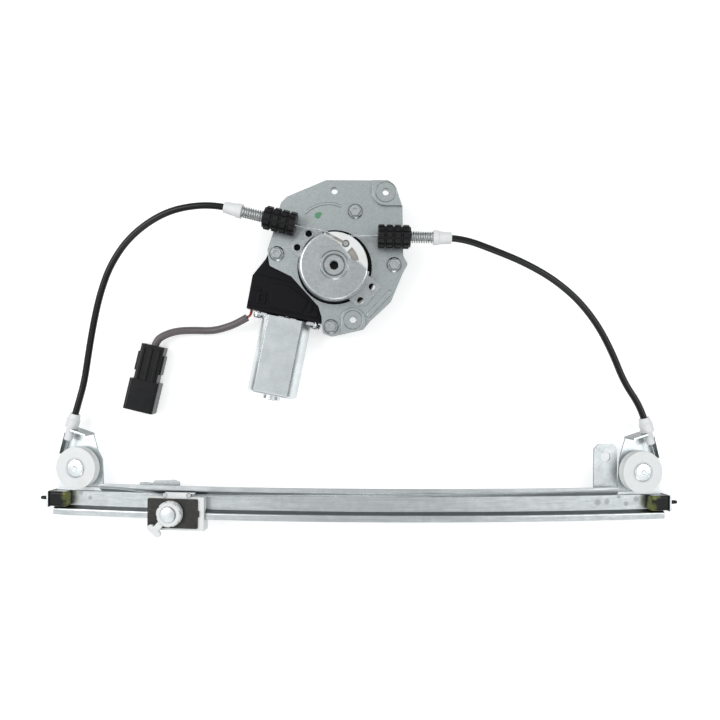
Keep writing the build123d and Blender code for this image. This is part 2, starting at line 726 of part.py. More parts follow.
DISTANCE = {"left": LEFT_SLEEVE_DISTANCE, "right": RIGHT_SLEEVE_DISTANCE}
LUG_WIDTH = 13.0
LUG_TOP = 5.0
LUG_SHEET = PLATE_SHEET
LUG_SHIFT = {"left": 1.5, "right": 5.0}
with BuildPart() as motor_plate:
    with BuildSketch(hub.offset(PLATE_BACK)) as plate_outline:
        Polygon(*PLATE_OUTLINE, align=None)
        fillet(plate_outline.vertices(), 3.0)
        Circle(DRUM_OPENING, mode=Mode.SUBTRACT)
    extrude(amount=PLATE_SHEET)
    # raised pads round two of the mounting points
    for pad, reach in ((CORNER_PAD, 9.6), (LOWER_PAD, 9.0)):
        with BuildSketch(hub.offset(PLATE_FRONT)):
            with Locations(pad):
                Circle(reach)
        extrude(amount=EMBOSS_HEIGHT, taper=30)
        with BuildSketch(hub.offset(PLATE_BACK)):
            with Locations(pad):
                Circle(reach - 0.6)
        extrude(amount=EMBOSS_HEIGHT, taper=30, mode=Mode.SUBTRACT)
    # holes of the weld nuts
    with BuildSketch(hub.offset(PLATE_BACK)):
        with Locations(TOP_POINT, CORNER_PAD, LOWER_PAD):
            Circle(STUD_HOLE_RADIUS + 0.6)
        for angle in SCREW_ANGLES:
            with Locations((SCREW_CIRCLE * cos(radians(angle)), SCREW_CIRCLE * sin(radians(angle)))):
                Circle(3.2)
    extrude(amount=EMBOSS_HEIGHT + PLATE_SHEET, mode=Mode.SUBTRACT)
    # eyelet holes of the drum cover
    for ear in (EAR_ANGLE, EAR_ANGLE + 180):
        for step in (-EYELET_SPREAD, EYELET_SPREAD):
            a = radians(ear + step)
            with BuildSketch(hub.offset(PLATE_BACK)):
                with Locations((EYELET_CIRCLE * cos(a), EYELET_CIRCLE * sin(a))):
                    Circle(3.4)
            extrude(amount=PLATE_SHEET, mode=Mode.SUBTRACT)
    # lugs folded forward to hold the tensioners
    for hand in ("left", "right"):
        lug_plane = tensioner_plane(hand, DISTANCE[hand] + LUG_SHIFT[hand] - LUG_SHEET / 2)
        with BuildSketch(lug_plane):
            with Locations((0, PLATE_BACK - TENSIONER_Z)):
                Rectangle(LUG_WIDTH, TENSIONER_Z - PLATE_BACK + LUG_TOP, align=(Align.CENTER, Align.MIN))
            Circle(GUIDE_TUBE_RADIUS + 1.2, mode=Mode.SUBTRACT)
            with Locations((0, 5)):
                Rectangle(2 * (GUIDE_TUBE_RADIUS + 1.2), 10, mode=Mode.SUBTRACT)
        extrude(amount=LUG_SHEET)
save(motor_plate.part, "motor_plate")

nuts = []
for x, y in (TOP_POINT, CORNER_PAD, LOWER_PAD):
    raised = EMBOSS_HEIGHT if (x, y) != TOP_POINT else 0
    nut_base = Plane(
        origin=(HUB_X + x, HUB_Y + y, PLATE_BACK + raised - SEAT_GAP),
        x_dir=(1, 0, 0),
        z_dir=(0, 0, 1),
    )
    nuts.append(
        turned(
            nut_base,
            [
                (STUD_HOLE_RADIUS, -WELD_NUT_LENGTH),
                (WELD_NUT_RADIUS - 0.8, -WELD_NUT_LENGTH),
                (WELD_NUT_RADIUS, -WELD_NUT_LENGTH + 0.8),
                (WELD_NUT_RADIUS, 0),
                (STUD_HOLE_RADIUS, 0),
            ],
        )
    )
save(Compound(children=nuts), "plate_weld_nuts")

# Flange screws that hold the gear housing to the plate
SCREW_FLANGE = 7.0
SCREW_SHANK = 2.9
SCREW_LENGTH = 12.0
screws = []
for angle in SCREW_ANGLES:
    a = radians(angle)
    base = Plane(
        origin=(HUB_X + SCREW_CIRCLE * cos(a), HUB_Y + SCREW_CIRCLE * sin(a), PLATE_FRONT + SEAT_GAP),
        x_dir=(1, 0, 0),
        z_dir=(0, 0, 1),
    )
    with BuildPart() as screw:
        with BuildSketch(side_plane(base)):
            Polygon(
                (0, -SCREW_LENGTH),
                (SCREW_SHANK - 0.6, -SCREW_LENGTH),
                (SCREW_SHANK, -SCREW_LENGTH + 0.8),
                (SCREW_SHANK, 0),
                (SCREW_FLANGE, 0),
                (SCREW_FLANGE, 0.9),
                (5.2, 1.6),
                (0, 1.6),
                align=None,
            )
        revolve(axis=Axis(base.origin, base.z_dir))
        with BuildSketch(base.offset(1.6)):
            RegularPolygon(5.4, 6)
        extrude(amount=3.6)
        with BuildSketch(base.offset(5.2)):
            RegularPolygon(3.1, 6)
        extrude(amount=-2.4, mode=Mode.SUBTRACT)
    screws.append(screw.part)
save(Compound(children=screws), "housing_screws")

# Cable drum with its grooves, nipple pocket and slot
profile = [
    (SHAFT_RADIUS + SEAT_GAP, DRUM_BOTTOM),
    (10.0, DRUM_BOTTOM),
    (10.0, DRUM_TOP - 3.5),
    (20.5, DRUM_TOP - 3.5),
    (20.5, DRUM_BOTTOM),
    (DRUM_RADIUS, DRUM_BOTTOM),
]
for i in range(DRUM_GROOVES):
    z = FIRST_GROOVE + i * GROOVE_PITCH
    floor = WIND_RADIUS - CABLE_RADIUS - 0.1
    profile += [(DRUM_RADIUS, z - 1.2), (floor, z - 0.9), (floor, z + 0.9), (DRUM_RADIUS, z + 1.2)]
profile += [(DRUM_RADIUS, DRUM_TOP - 0.4), (DRUM_RADIUS - 0.4, DRUM_TOP), (12.0, DRUM_TOP)]
profile += [(11.0, DRUM_TOP - 0.8), (SHAFT_RADIUS + SEAT_GAP, DRUM_TOP - 0.8)]
POCKET = (9.1, 17.2)
POCKET_EXIT = (-6.7, 25.6)
with BuildPart() as cable_drum:
    with BuildSketch(side_plane(hub)):
        Polygon(*profile, align=None)
    revolve(axis=Axis(hub.origin, hub.z_dir))
    with BuildSketch(hub.offset(DRUM_TOP)):
        with Locations(POCKET):
            Circle(3.0)
        channel = Vector(*POCKET_EXIT) - Vector(*POCKET)
        with Locations(((POCKET[0] + POCKET_EXIT[0]) / 2, (POCKET[1] + POCKET_EXIT[1]) / 2)):
            Rectangle(channel.length, 2.2, rotation=degrees(atan2(channel.Y, channel.X)))
    extrude(amount=-3.0, mode=Mode.SUBTRACT)
    # see-through slot in the drum's face
    with BuildSketch(hub.offset(DRUM_TOP)):
        with BuildLine():
            outer_arc = CenterArc((0, 0), 20.0, 12, 34)
            inner_arc = CenterArc((0, 0), 14.5, 12, 34)
            Line(outer_arc @ 0, inner_arc @ 0)
            Line(outer_arc @ 1, inner_arc @ 1)
        make_face()
    extrude(amount=-4.0, mode=Mode.SUBTRACT)
save(cable_drum.part, "cable_drum")

# Nipple of the left cable in the drum's pocket
drum_nipple_base = Plane(origin=(HUB_X + POCKET[0], HUB_Y + POCKET[1], DRUM_TOP - 3.0), z_dir=(0, 0, 1))
save(turned(drum_nipple_base, [(0, 0.02), (2.2, 0.02), (2.2, 2.7), (1.9, 3.0), (0, 3.0)]), "drum_nipple")

# Stamped drum cover: a cup cut away over the cable ends, with an ear on each side
CUTAWAY = [
    (-9.5, 24.5),
    (2.7, 18.0),
    (8.3, 10.9),
    (11.6, 5.6),
    (18.6, 2.5),
    (26.5, -4.6),
    (36.0, -6.0),
    (40.0, 40.0),
    (-9.5, 40.0),
]
inner = COVER_RADIUS - COVER_SHEET
with BuildPart() as drum_cover:
    with BuildSketch(side_plane(hub)):
        with BuildLine():
            Polyline(
                (3.85, COVER_TOP - COVER_SHEET - 0.8),
                (3.85, COVER_TOP - 0.8),
                (7.6, COVER_TOP - 0.8),
                (9.0, COVER_TOP + 0.8),
                (10.6, COVER_TOP + 0.8),
                (11.8, COVER_TOP),
                (COVER_RADIUS - 3.0, COVER_TOP),
            )
            RadiusArc((COVER_RADIUS - 3.0, COVER_TOP), (COVER_RADIUS, COVER_TOP - 3.0), 3.0)
            Polyline(
                (COVER_RADIUS, COVER_TOP - 3.0),
                (COVER_RADIUS, PLATE_FRONT + SEAT_GAP),
                (inner, PLATE_FRONT + SEAT_GAP),
                (inner, COVER_TOP - 3.0),
            )
            RadiusArc(
                (inner, COVER_TOP - 3.0),
                (COVER_RADIUS - 3.0, COVER_TOP - COVER_SHEET),
                COVER_SHEET - 3.0,
            )
            Polyline(
                (COVER_RADIUS - 3.0, COVER_TOP - COVER_SHEET),
                (11.4, COVER_TOP - COVER_SHEET),
                (10.2, COVER_TOP - 0.4),
                (9.3, COVER_TOP - 0.4),
                (7.9, COVER_TOP - COVER_SHEET - 0.8),
                (3.85, COVER_TOP - COVER_SHEET - 0.8),
            )
        make_face()
    revolve(axis=Axis(hub.origin, hub.z_dir))
    with BuildSketch(hub.offset(PLATE_FRONT)):
        Polygon(*CUTAWAY, align=None)
    extrude(amount=COVER_TOP - PLATE_FRONT + 3, mode=Mode.SUBTRACT)
    for ear in (EAR_ANGLE, EAR_ANGLE + 180):
        a = radians(ear)
        ear_plane = Plane(
            origin=(HUB_X, HUB_Y, PLATE_FRONT + SEAT_GAP), x_dir=(cos(a), sin(a), 0), z_dir=(0, 0, 1)
        )
        spread = radians(EYELET_SPREAD)
        with BuildSketch(ear_plane) as ear_outline:
            with Locations((inner - 4.5, 0)):
                Rectangle(EAR_REACH - inner + 4.5, 2 * EAR_HALF_WIDTH, align=(Align.MIN, Align.CENTER))
            chamfer(ear_outline.vertices().group_by(Axis(ear_plane.origin, ear_plane.x_dir))[-1], 5)
            Circle(COVER_RADIUS - COVER_SHEET / 2, mode=Mode.SUBTRACT)
            for step in (-spread, spread):
                with Locations((EYELET_CIRCLE * cos(step), EYELET_CIRCLE * sin(step))):
                    Circle(3.4, mode=Mode.SUBTRACT)
        extrude(amount=COVER_SHEET)
save(drum_cover.part, "drum_cover")

# Tubular eyelets that fix the cover's ears to the plate
eyelets = []
for ear in (EAR_ANGLE, EAR_ANGLE + 180):
    for step in (-EYELET_SPREAD, EYELET_SPREAD):
        a = radians(ear + step)
        base = Plane(
            origin=(HUB_X + EYELET_CIRCLE * cos(a), HUB_Y + EYELET_CIRCLE * sin(a), PLATE_FRONT),
            x_dir=(1, 0, 0),
            z_dir=(0, 0, 1),
        )
        top = COVER_SHEET + 2 * SEAT_GAP
        low = -PLATE_SHEET - SEAT_GAP
        eyelets.append(
            turned(
                base,
                [
                    (2.7, low - 0.6),
                    (4.3, low - 0.6),
                    (4.3, low),
                    (3.35, low),
                    (3.35, top),
                    (4.0, top),
                    (4.0, top + 0.5),
                    (2.7, top + 0.5),
                ],
            )
        )
save(Compound(children=eyelets), "cover_eyelets")

# Tensioners: ribbed rubber sleeve, spring and sliding upper ferrule
upper_seats = {}
for hand in ("left", "right"):
    middle = DISTANCE[hand]
    inner_face = tensioner_plane(hand, middle - SLEEVE_LENGTH / 2)
    with BuildPart() as tensioner_sleeve:
        ring = SLEEVE_LENGTH / 4
        rib = []
        for i in range(4):
            at = i * ring
            rib += [
                (SLEEVE_RADIUS - 1.4, at),
                (SLEEVE_RADIUS, at + 0.7),
                (SLEEVE_RADIUS, at + ring - 1.6),
                (SLEEVE_RADIUS - 1.4, at + ring - 0.9),
            ]
        bore = GUIDE_TUBE_RADIUS + 0.08
        with BuildSketch(side_plane(inner_face)):
            Polygon(
                (1.6, 0),
                *rib,
                (SLEEVE_RADIUS - 1.4, SLEEVE_LENGTH),
                (bore, SLEEVE_LENGTH),
                (bore, 6),
                (1.6, 6),
                align=None,
            )
        revolve(axis=Axis(inner_face.origin, inner_face.z_dir))
        # lengthwise channels that turn the rings into a waffle
        with BuildSketch(inner_face):
            with PolarLocations(SLEEVE_RADIUS, 12, start_angle=15):
                Rectangle(2.4, 1.5)
        extrude(amount=SLEEVE_LENGTH, mode=Mode.SUBTRACT)
        # slit that snaps over the plate's lug
        lug_plane = tensioner_plane(hand, middle + LUG_SHIFT[hand] - LUG_SHEET / 2 - SEAT_GAP)
        with BuildSketch(lug_plane):
            with Locations((0, -SLEEVE_RADIUS - 1)):
                Rectangle(
                    LUG_WIDTH + 0.1,
                    SLEEVE_RADIUS + 1 + LUG_TOP + 0.05,
                    align=(Align.CENTER, Align.MIN),
                )
            Circle(GUIDE_TUBE_RADIUS + 1.15, mode=Mode.SUBTRACT)
            with Locations((0, 5)):
                Rectangle(2 * (GUIDE_TUBE_RADIUS + 1.15), 10, mode=Mode.SUBTRACT)
        extrude(amount=LUG_SHEET + 2 * SEAT_GAP, mode=Mode.SUBTRACT)
    save(tensioner_sleeve.part, f"{hand}_tensioner_sleeve")

    spring_start = tensioner_plane(hand, middle + SLEEVE_LENGTH / 2 + SPRING_WIRE / 2 + 0.05)
    spring_height = SPRING_LENGTH - SPRING_WIRE - 0.1
    with BuildPart() as tensioner_spring:
        with BuildLine() as coil:
            Helix(
                pitch=spring_height / SPRING_TURNS,
                height=spring_height,
                radius=SPRING_RADIUS,
                center=spring_start.origin,
                direction=spring_start.z_dir,
            )
        wire_plane = Plane(origin=coil.line @ 0, z_dir=coil.line % 0)
        with BuildSketch(wire_plane):
            Rectangle(SPRING_WIRE * 0.9, SPRING_WIRE * 0.9)
        sweep(path=coil.line, is_frenet=True)
    save(tensioner_spring.part, f"{hand}_tensioner_spring")

    collar_plane = tensioner_plane(hand, middle + SLEEVE_LENGTH / 2 + SPRING_LENGTH)
    reach = SPRING_LENGTH + GUIDE_TUBE_REACH
    upper_ferrule = turned(
        collar_plane,
        [
            (CABLE_RADIUS + 0.25, -reach),
            (GUIDE_TUBE_RADIUS - 0.5, -reach),
            (GUIDE_TUBE_RADIUS, -reach + 1),
            (GUIDE_TUBE_RADIUS, 0),
            (UPPER_COLLAR_RADIUS, 0),
            (UPPER_COLLAR_RADIUS, 4.0),
            (UPPER_COLLAR_RADIUS - 0.7, 4.6),
            (UPPER_COLLAR_RADIUS - 1.3, UPPER_COLLAR_LENGTH),
            (SHEATH_RADIUS + 0.1, UPPER_COLLAR_LENGTH),
            (SHEATH_RADIUS + 0.1, UPPER_COLLAR_LENGTH - SOCKET_DEPTH),
            (CABLE_RADIUS + 0.25, UPPER_COLLAR_LENGTH - SOCKET_DEPTH),
        ],
    )
    save(upper_ferrule, f"{hand}_upper_ferrule")
    upper_seats[hand] = (
        point_on(collar_plane, 0, 0, UPPER_COLLAR_LENGTH - SOCKET_DEPTH),
        point_on(collar_plane, 0, 0, UPPER_COLLAR_LENGTH + 9),
    )

    # bare cable between the drum and the sleeve
    touch = tensioner_plane(hand, 0).origin
    groove = FIRST_GROOVE + GROOVE_PITCH * (3 if hand == "left" else 2)
    begin = Vector(touch.X, touch.Y, groove)
    finish = tensioner_plane(hand, middle - SLEEVE_LENGTH / 2 + 5).origin
    with BuildPart() as drum_cable:
        with BuildSketch(Plane(origin=begin, z_dir=finish - begin)):
            Circle(CABLE_RADIUS)
        extrude(amount=(finish - begin).length)
    save(drum_cable.part, f"{hand}_drum_cable")

# Black cable sheaths, bowed out from the tensioners and down to the rail's ends
left_sheath_route = [
    upper_seats["left"][0],
    upper_seats["left"][1],
    (-144.5, 120.6, 38.8),
    (-166.0, 112.4, 36.1),
    (-187.5, 96.8, 32.0),
    (-203.0, 76.2, 27.6),
    (-212.6, 54.0, 23.2),
    (-219.6, 28.6, 19.0),
    (-225.0, 2.0, 15.4),
    (-228.8, -20.0, 13.4),
    left_lead,
    left_seat,
]
right_sheath_route = [
    upper_seats["right"][0],
    upper_seats["right"][1],
    (107.0, 88.0, 39.4),
    (131.0, 79.0, 36.2),
    (155.0, 66.8, 31.8),
    (176.5, 50.8, 26.8),
    (194.5, 30.4, 22.0),
    (208.4, 6.8, 17.6),
    (219.0, -17.0, 14.4),
    right_lead,
    right_seat,
]
save(cord(left_sheath_route, SHEATH_RADIUS, "left_cable_sheath"), "left_cable_sheath")
save(cord(right_sheath_route, SHEATH_RADIUS, "right_cable_sheath"), "right_cable_sheath")

# Worm gear motor. The worm's axis lies beside the hub and tilts with the motor.
mt = radians(MOTOR_TILT)
foot = Vector(HUB_X - WORM_OFFSET * cos(mt), HUB_Y + WORM_OFFSET * sin(mt), WORM_Z)
down = Vector(-sin(mt), -cos(mt), 0)
inward = Vector(cos(mt), -sin(mt), 0)
worm_plane = Plane(origin=foot, x_dir=inward, z_dir=down)
# plan view in which x points to the hub and y up along the worm, for housing outlines
plan = Plane(origin=(foot.X, foot.Y, 0), x_dir=inward, z_dir=(0, 0, 1))

MODULE = 2 * (WORM_OFFSET - 4.0) / WHEEL_TEETH
WHEEL_PITCH_RADIUS = MODULE * WHEEL_TEETH / 2
WORM_PITCH_RADIUS = WORM_OFFSET - WHEEL_PITCH_RADIUS
WORM_LEAD = pi * MODULE
LEAD_ANGLE = atan2(WORM_LEAD, 2 * pi * WORM_PITCH_RADIUS)
ADDENDUM = 0.8 * MODULE
DEDENDUM = 1.15 * MODULE


def wheel_outline(turn):
    """Trapezoid teeth round the wheel, turned about its centre."""
    step = 2 * pi / WHEEL_TEETH
    points = []
    for i in range(WHEEL_TEETH):
        middle = i * step + turn
        root = WHEEL_PITCH_RADIUS - DEDENDUM
        tip = WHEEL_PITCH_RADIUS + ADDENDUM
        for radius, share in ((root, -0.27), (tip, -0.11), (tip, 0.11), (root, 0.27)):
            angle = middle + share * step
            points.append((radius * cos(angle), radius * sin(angle)))
    return points


# the wheel's tooth gap faces the worm at its middle height, where the worm's thread stands
worm_direction = radians(180 - MOTOR_TILT)
twist = WHEEL_THICKNESS / 2 * tan(LEAD_ANGLE) / WHEEL_PITCH_RADIUS
gap_turn = worm_direction + pi / WHEEL_TEETH
wheel_low = WORM_Z - WHEEL_THICKNESS / 2
with BuildPart() as worm_wheel:
    with BuildSketch(hub.offset(wheel_low)):
        Polygon(*wheel_outline(gap_turn - twist), align=None)
    with BuildSketch(hub.offset(wheel_low + WHEEL_THICKNESS)):
        Polygon(*wheel_outline(gap_turn + twist), align=None)
    loft(ruled=True)
    with BuildSketch(hub.offset(wheel_low)):
        Circle(WHEEL_PITCH_RADIUS - 4)
        Circle(SHAFT_RADIUS + 3.5, mode=Mode.SUBTRACT)
    extrude(amount=2.0, mode=Mode.SUBTRACT)
    with BuildSketch(hub.offset(wheel_low)):
        Circle(SHAFT_RADIUS + SEAT_GAP)
    extrude(amount=WHEEL_THICKNESS, mode=Mode.SUBTRACT)
save(worm_wheel.part, "worm_wheel")

# Output shaft through wheel, housing and drum
shaft_low = HOUSING_BOTTOM + 0.3
output_shaft = turned(
    hub,
    [
        (0, shaft_low),
        (SHAFT_RADIUS - 2.0, shaft_low),
        (SHAFT_RADIUS - 2.0, HOUSING_BOTTOM + 3.0),
        (SHAFT_RADIUS, HOUSING_BOTTOM + 3.4),
        (SHAFT_RADIUS, DRUM_TOP - 1.2),
        (3.4, DRUM_TOP - 1.2),
        (3.2, DRUM_TOP - 8.0),
        (0, DRUM_TOP - 8.0),
    ],
)
save(output_shaft, "output_shaft")

# Worm cut on the armature shaft
WORM_LENGTH = 9 * WORM_LEAD
SHAFT_PIN = 2.5
TAIL_END = -24.0
ARMATURE_END = CAN_START + CAN_LENGTH + 2.0
thread_root = WORM_PITCH_RADIUS - DEDENDUM
thread_tip = WORM_PITCH_RADIUS + ADDENDUM
with BuildPart() as armature_shaft:
    with BuildSketch(side_plane(worm_plane)):
        Polygon(
            (0, TAIL_END),
            (SHAFT_PIN - 0.4, TAIL_END),
            (SHAFT_PIN, TAIL_END + 0.6),
            (SHAFT_PIN, -WORM_LENGTH / 2 - 1.5),
            (thread_root, -WORM_LENGTH / 2 - 1.0),
            (thread_root, WORM_LENGTH / 2 + 1.0),
            (SHAFT_PIN, WORM_LENGTH / 2 + 1.5),
            (SHAFT_PIN, ARMATURE_END - 0.6),
            (SHAFT_PIN - 0.6, ARMATURE_END),
            (0, ARMATURE_END),
            align=None,
        )
    revolve(axis=Axis(worm_plane.origin, worm_plane.z_dir))
    thread_start = worm_plane.offset(-WORM_LENGTH / 2)
    with BuildLine() as thread_path:
        Helix(
            pitch=WORM_LEAD,
            height=WORM_LENGTH,
            radius=thread_root - 0.15,
            center=thread_start.origin,
            direction=thread_start.z_dir,
        )
    start_point = thread_path.line @ 0
    outwards = (start_point - thread_start.origin).normalized()
    tooth_plane = Plane(origin=start_point, x_dir=outwards, z_dir=thread_path.line % 0)
    depth = thread_tip - thread_root + 0.15
    base_half = WORM_LEAD * 0.26
    tip_half = WORM_LEAD * 0.10
    with BuildSketch(tooth_plane):
        Polygon((0, -base_half), (depth, -tip_half), (depth, tip_half), (0, base_half), align=None)
    sweep(path=thread_path.line, is_frenet=True)
save(armature_shaft.part, "armature_shaft")
print("worm start direction", outwards, "wheel pitch radius", round(WHEEL_PITCH_RADIUS, 3))

# Gear housing: deep plastic shell that holds the wheel, the worm and the motor's brush end
housing_top = PLATE_BACK - SEAT_GAP
HOUSING_FACE = 27.6
chamber_radius = WHEEL_PITCH_RADIUS + ADDENDUM + 0.8
with BuildPart() as gear_housing:
    with BuildSketch(hub.offset(HOUSING_BOTTOM)):
        Circle(HOUSING_RADIUS)
        for angle in SCREW_ANGLES:
            a = radians(angle)
            with Locations((SCREW_CIRCLE * cos(a), SCREW_CIRCLE * sin(a))):
                Circle(6.5)
            with Locations(((SCREW_CIRCLE - 10) * cos(a), (SCREW_CIRCLE - 10) * sin(a))):
                Rectangle(20, 8, rotation=angle)
    extrude(amount=HOUSING_FACE - HOUSING_BOTTOM)
    with BuildSketch(hub.offset(HOUSING_FACE)):
        Circle(26.0)
        Circle(22.5, mode=Mode.SUBTRACT)
        for angle in SCREW_ANGLES:
            a = radians(angle)
            with Locations((SCREW_CIRCLE * cos(a), SCREW_CIRCLE * sin(a))):
                Circle(6.5)
    extrude(amount=housing_top - HOUSING_FACE)
    with BuildSketch(plan.offset(HOUSING_BOTTOM)):
        Polygon(
            (8, 27),
            (-10, 27),
            (-20, 18),
            (-25.6, -4),
            (-33.4, -19),
            (-33.0, -CAN_START + 1.6),
            (29, -CAN_START + 1.6),
            (29, -38),
            (14, -20),
            align=None,
        )
    extrude(amount=housing_top - 3.0 - HOUSING_BOTTOM)
    # wheel chamber, open to the back
    with BuildSketch(hub.offset(HOUSING_BOTTOM)):
        Circle(chamber_radius)
    extrude(amount=20.0, mode=Mode.SUBTRACT)
    # bearing for the output shaft
    with BuildSketch(hub.offset(HOUSING_BOTTOM)):
        Circle(SHAFT_RADIUS + RUNNING_GAP)
    extrude(amount=housing_top, mode=Mode.SUBTRACT)
    # worm tunnel, open towards the motor
    with BuildSketch(worm_plane.offset(TAIL_END - 0.3)):
        Circle(6.2)
    extrude(amount=CAN_START - TAIL_END + 2, mode=Mode.SUBTRACT)
    # brush chamber
    with BuildSketch(worm_plane.offset(CAN_START - 16)):
        RectangleRounded(44, 20, 4)
    extrude(amount=17, mode=Mode.SUBTRACT)
    # wire exit beside the motor's flange
    with BuildSketch(worm_plane.offset(CAN_START - 9)):
        with Locations((WIRE_EXIT_X, -0.6)):
            Rectangle(2.6, 6)
    extrude(amount=9, mode=Mode.SUBTRACT)
    with BuildSketch(worm_plane.offset(CAN_START - 9.5)):
        with Locations((-CAN_SCREW_X, 0), (CAN_SCREW_X, 0)):
            Circle(1.9 + SEAT_GAP)
    extrude(amount=9.5, mode=Mode.SUBTRACT)
    # screw holes
    for angle in SCREW_ANGLES:
        a = radians(angle)
        with BuildSketch(hub.offset(housing_top)):
            with Locations((SCREW_CIRCLE * cos(a), SCREW_CIRCLE * sin(a))):
                Circle(SCREW_SHANK + SEAT_GAP)
        extrude(amount=-SCREW_LENGTH, mode=Mode.SUBTRACT)
save(gear_housing.part, "gear_housing")

# Back cover of the housing with the shaft's thrust pivot
with BuildPart() as gear_housing_cover:
    with BuildSketch(hub):
        Circle(HOUSING_RADIUS)
    extrude(amount=HOUSING_BOTTOM - SEAT_GAP)
    with BuildSketch(hub.offset(HOUSING_BOTTOM - SEAT_GAP)):
        Circle(chamber_radius - 0.3)
        Circle(chamber_radius - 2.0, mode=Mode.SUBTRACT)
    extrude(amount=1.5)
    with BuildSketch(hub.offset(HOUSING_BOTTOM - SEAT_GAP)):
        Circle(SHAFT_RADIUS + 1.5)
        Circle(SHAFT_RADIUS - 2.0 + RUNNING_GAP, mode=Mode.SUBTRACT)
    extrude(amount=2.6)
save(gear_housing_cover.part, "gear_housing_cover")

# Motor can: round tube with two flats, closed at its far end
flange_plane = worm_plane.offset(CAN_START)


def can_section(grow):
    """The can's outline, a circle with two flats."""
    Circle(CAN_RADIUS + grow)
    Rectangle(2 * (CAN_RADIUS + grow), 2 * (CAN_HALF_DEPTH + grow), mode=Mode.INTERSECT)


with BuildPart() as motor_can:
    with BuildSketch(flange_plane):
        can_section(0)
    extrude(amount=CAN_LENGTH)
    far_face = motor_can.faces().sort_by(Axis(flange_plane.origin, flange_plane.z_dir))[-1]
    fillet(far_face.edges(), 2.6)
    with BuildSketch(flange_plane):
        can_section(-CAN_WALL)
    extrude(amount=CAN_LENGTH - CAN_WALL, mode=Mode.SUBTRACT)
    with BuildSketch(flange_plane):
        RectangleRounded(2 * FLANGE_HALF_WIDTH, 22, 5)
        with Locations((-CAN_SCREW_X, 0), (CAN_SCREW_X, 0)):
            Circle(2.0, mode=Mode.SUBTRACT)
        Circle(CAN_RADIUS - CAN_WALL, mode=Mode.SUBTRACT)
    extrude(amount=1.6)
    with BuildSketch(flange_plane.offset(CAN_LENGTH - CAN_WALL)):
        Circle(7.2)
    extrude(amount=CAN_WALL + 3.6)
    with BuildSketch(flange_plane.offset(CAN_LENGTH + 3.6)):
        Circle(3.2)
    extrude(amount=0.9)
    with BuildSketch(flange_plane.offset(CAN_LENGTH - CAN_WALL)):
        Circle(5.4)
    extrude(amount=CAN_WALL + 2.4, mode=Mode.SUBTRACT)
save(motor_can.part, "motor_can")

# Two screws through the can's flange into the housing
can_screws = []
for x in (-CAN_SCREW_X, CAN_SCREW_X):
    base = Plane(
        origin=point_on(worm_plane, x, 0, CAN_START + 1.6 + SEAT_GAP),
        x_dir=worm_plane.x_dir,
        z_dir=worm_plane.z_dir,
    )
    with BuildPart() as can_screw:
        with BuildSketch(side_plane(base)):
            Polygon(
                (0, -9),
                (1.4, -9),
                (1.9, -8.2),
                (1.9, 0),
                (3.6, 0),
                (3.6, 1.2),
                (2.8, 2.2),
                (0, 2.4),
                align=None,
            )
        revolve(axis=Axis(base.origin, base.z_dir))
        with BuildSketch(base.offset(2.4)):
            Rectangle(4.0, 0.8)
            Rectangle(0.8, 4.0)
        extrude(amount=-1.2, mode=Mode.SUBTRACT)
    can_screws.append(can_screw.part)
save(Compound(children=can_screws), "can_screws")

# Armature: slotted iron core, copper windings and commutator on the shaft
CORE_START = CAN_START + 22.0
CORE_LENGTH = 26.0
CORE_RADIUS = 12.6
CORE_SLOTS = 8
with BuildPart() as armature_core:
    with BuildSketch(worm_plane.offset(CORE_START)):
        Circle(CORE_RADIUS)
        Circle(SHAFT_PIN, mode=Mode.SUBTRACT)
        with PolarLocations(CORE_RADIUS - 3.0, CORE_SLOTS):
            SlotOverall(6.4, 3.0, mode=Mode.SUBTRACT)
        with PolarLocations(CORE_RADIUS, CORE_SLOTS):
            Rectangle(2.4, 1.2, mode=Mode.SUBTRACT)
    extrude(amount=CORE_LENGTH)
save(armature_core.part, "armature_core")

winding_ends = []
for start, length in ((CORE_START - 6.0, 5.9), (CORE_START + CORE_LENGTH + 0.1, 5.9)):
    with BuildPart() as winding_end:
        with BuildSketch(worm_plane.offset(start)):
            Circle(CORE_RADIUS - 1.2)
            Circle(SHAFT_PIN + SEAT_GAP, mode=Mode.SUBTRACT)
        extrude(amount=length)
        rims = winding_end.edges().filter_by(GeomType.CIRCLE).sort_by(SortBy.RADIUS)[-2:]
        fillet(rims, 1.8)
    winding_ends.append(winding_end.part)
save(Compound(children=winding_ends), "armature_windings")

COMMUTATOR_START = CAN_START + 4.0
COMMUTATOR_RADIUS = 5.5
with BuildPart() as commutator:
    with BuildSketch(worm_plane.offset(COMMUTATOR_START)):
        Circle(COMMUTATOR_RADIUS)
        Circle(SHAFT_PIN, mode=Mode.SUBTRACT)
        with PolarLocations(COMMUTATOR_RADIUS, CORE_SLOTS):
            Rectangle(1.4, 0.5, mode=Mode.SUBTRACT)
    extrude(amount=11.0)
save(commutator.part, "commutator")

# Two curved magnets inside the can
magnet_radius = CAN_HALF_DEPTH - CAN_WALL - 0.1
magnets = []
for facing in (0, 180):
    with BuildPart() as magnet:
        with BuildSketch(worm_plane.offset(CORE_START - 3)):
            Circle(CAN_RADIUS - CAN_WALL - 0.1)
            Circle(CORE_RADIUS + 0.6, mode=Mode.SUBTRACT)
            Rectangle(2 * CAN_RADIUS, 2 * magnet_radius, mode=Mode.INTERSECT)
            with Locations((-(CAN_RADIUS + 7) if facing == 0 else CAN_RADIUS + 7, 0)):
                Rectangle(2 * CAN_RADIUS, 4 * CAN_RADIUS, mode=Mode.SUBTRACT)
        extrude(amount=CORE_LENGTH + 6)
    magnets.append(magnet.part)
save(Compound(children=magnets), "motor_magnets")

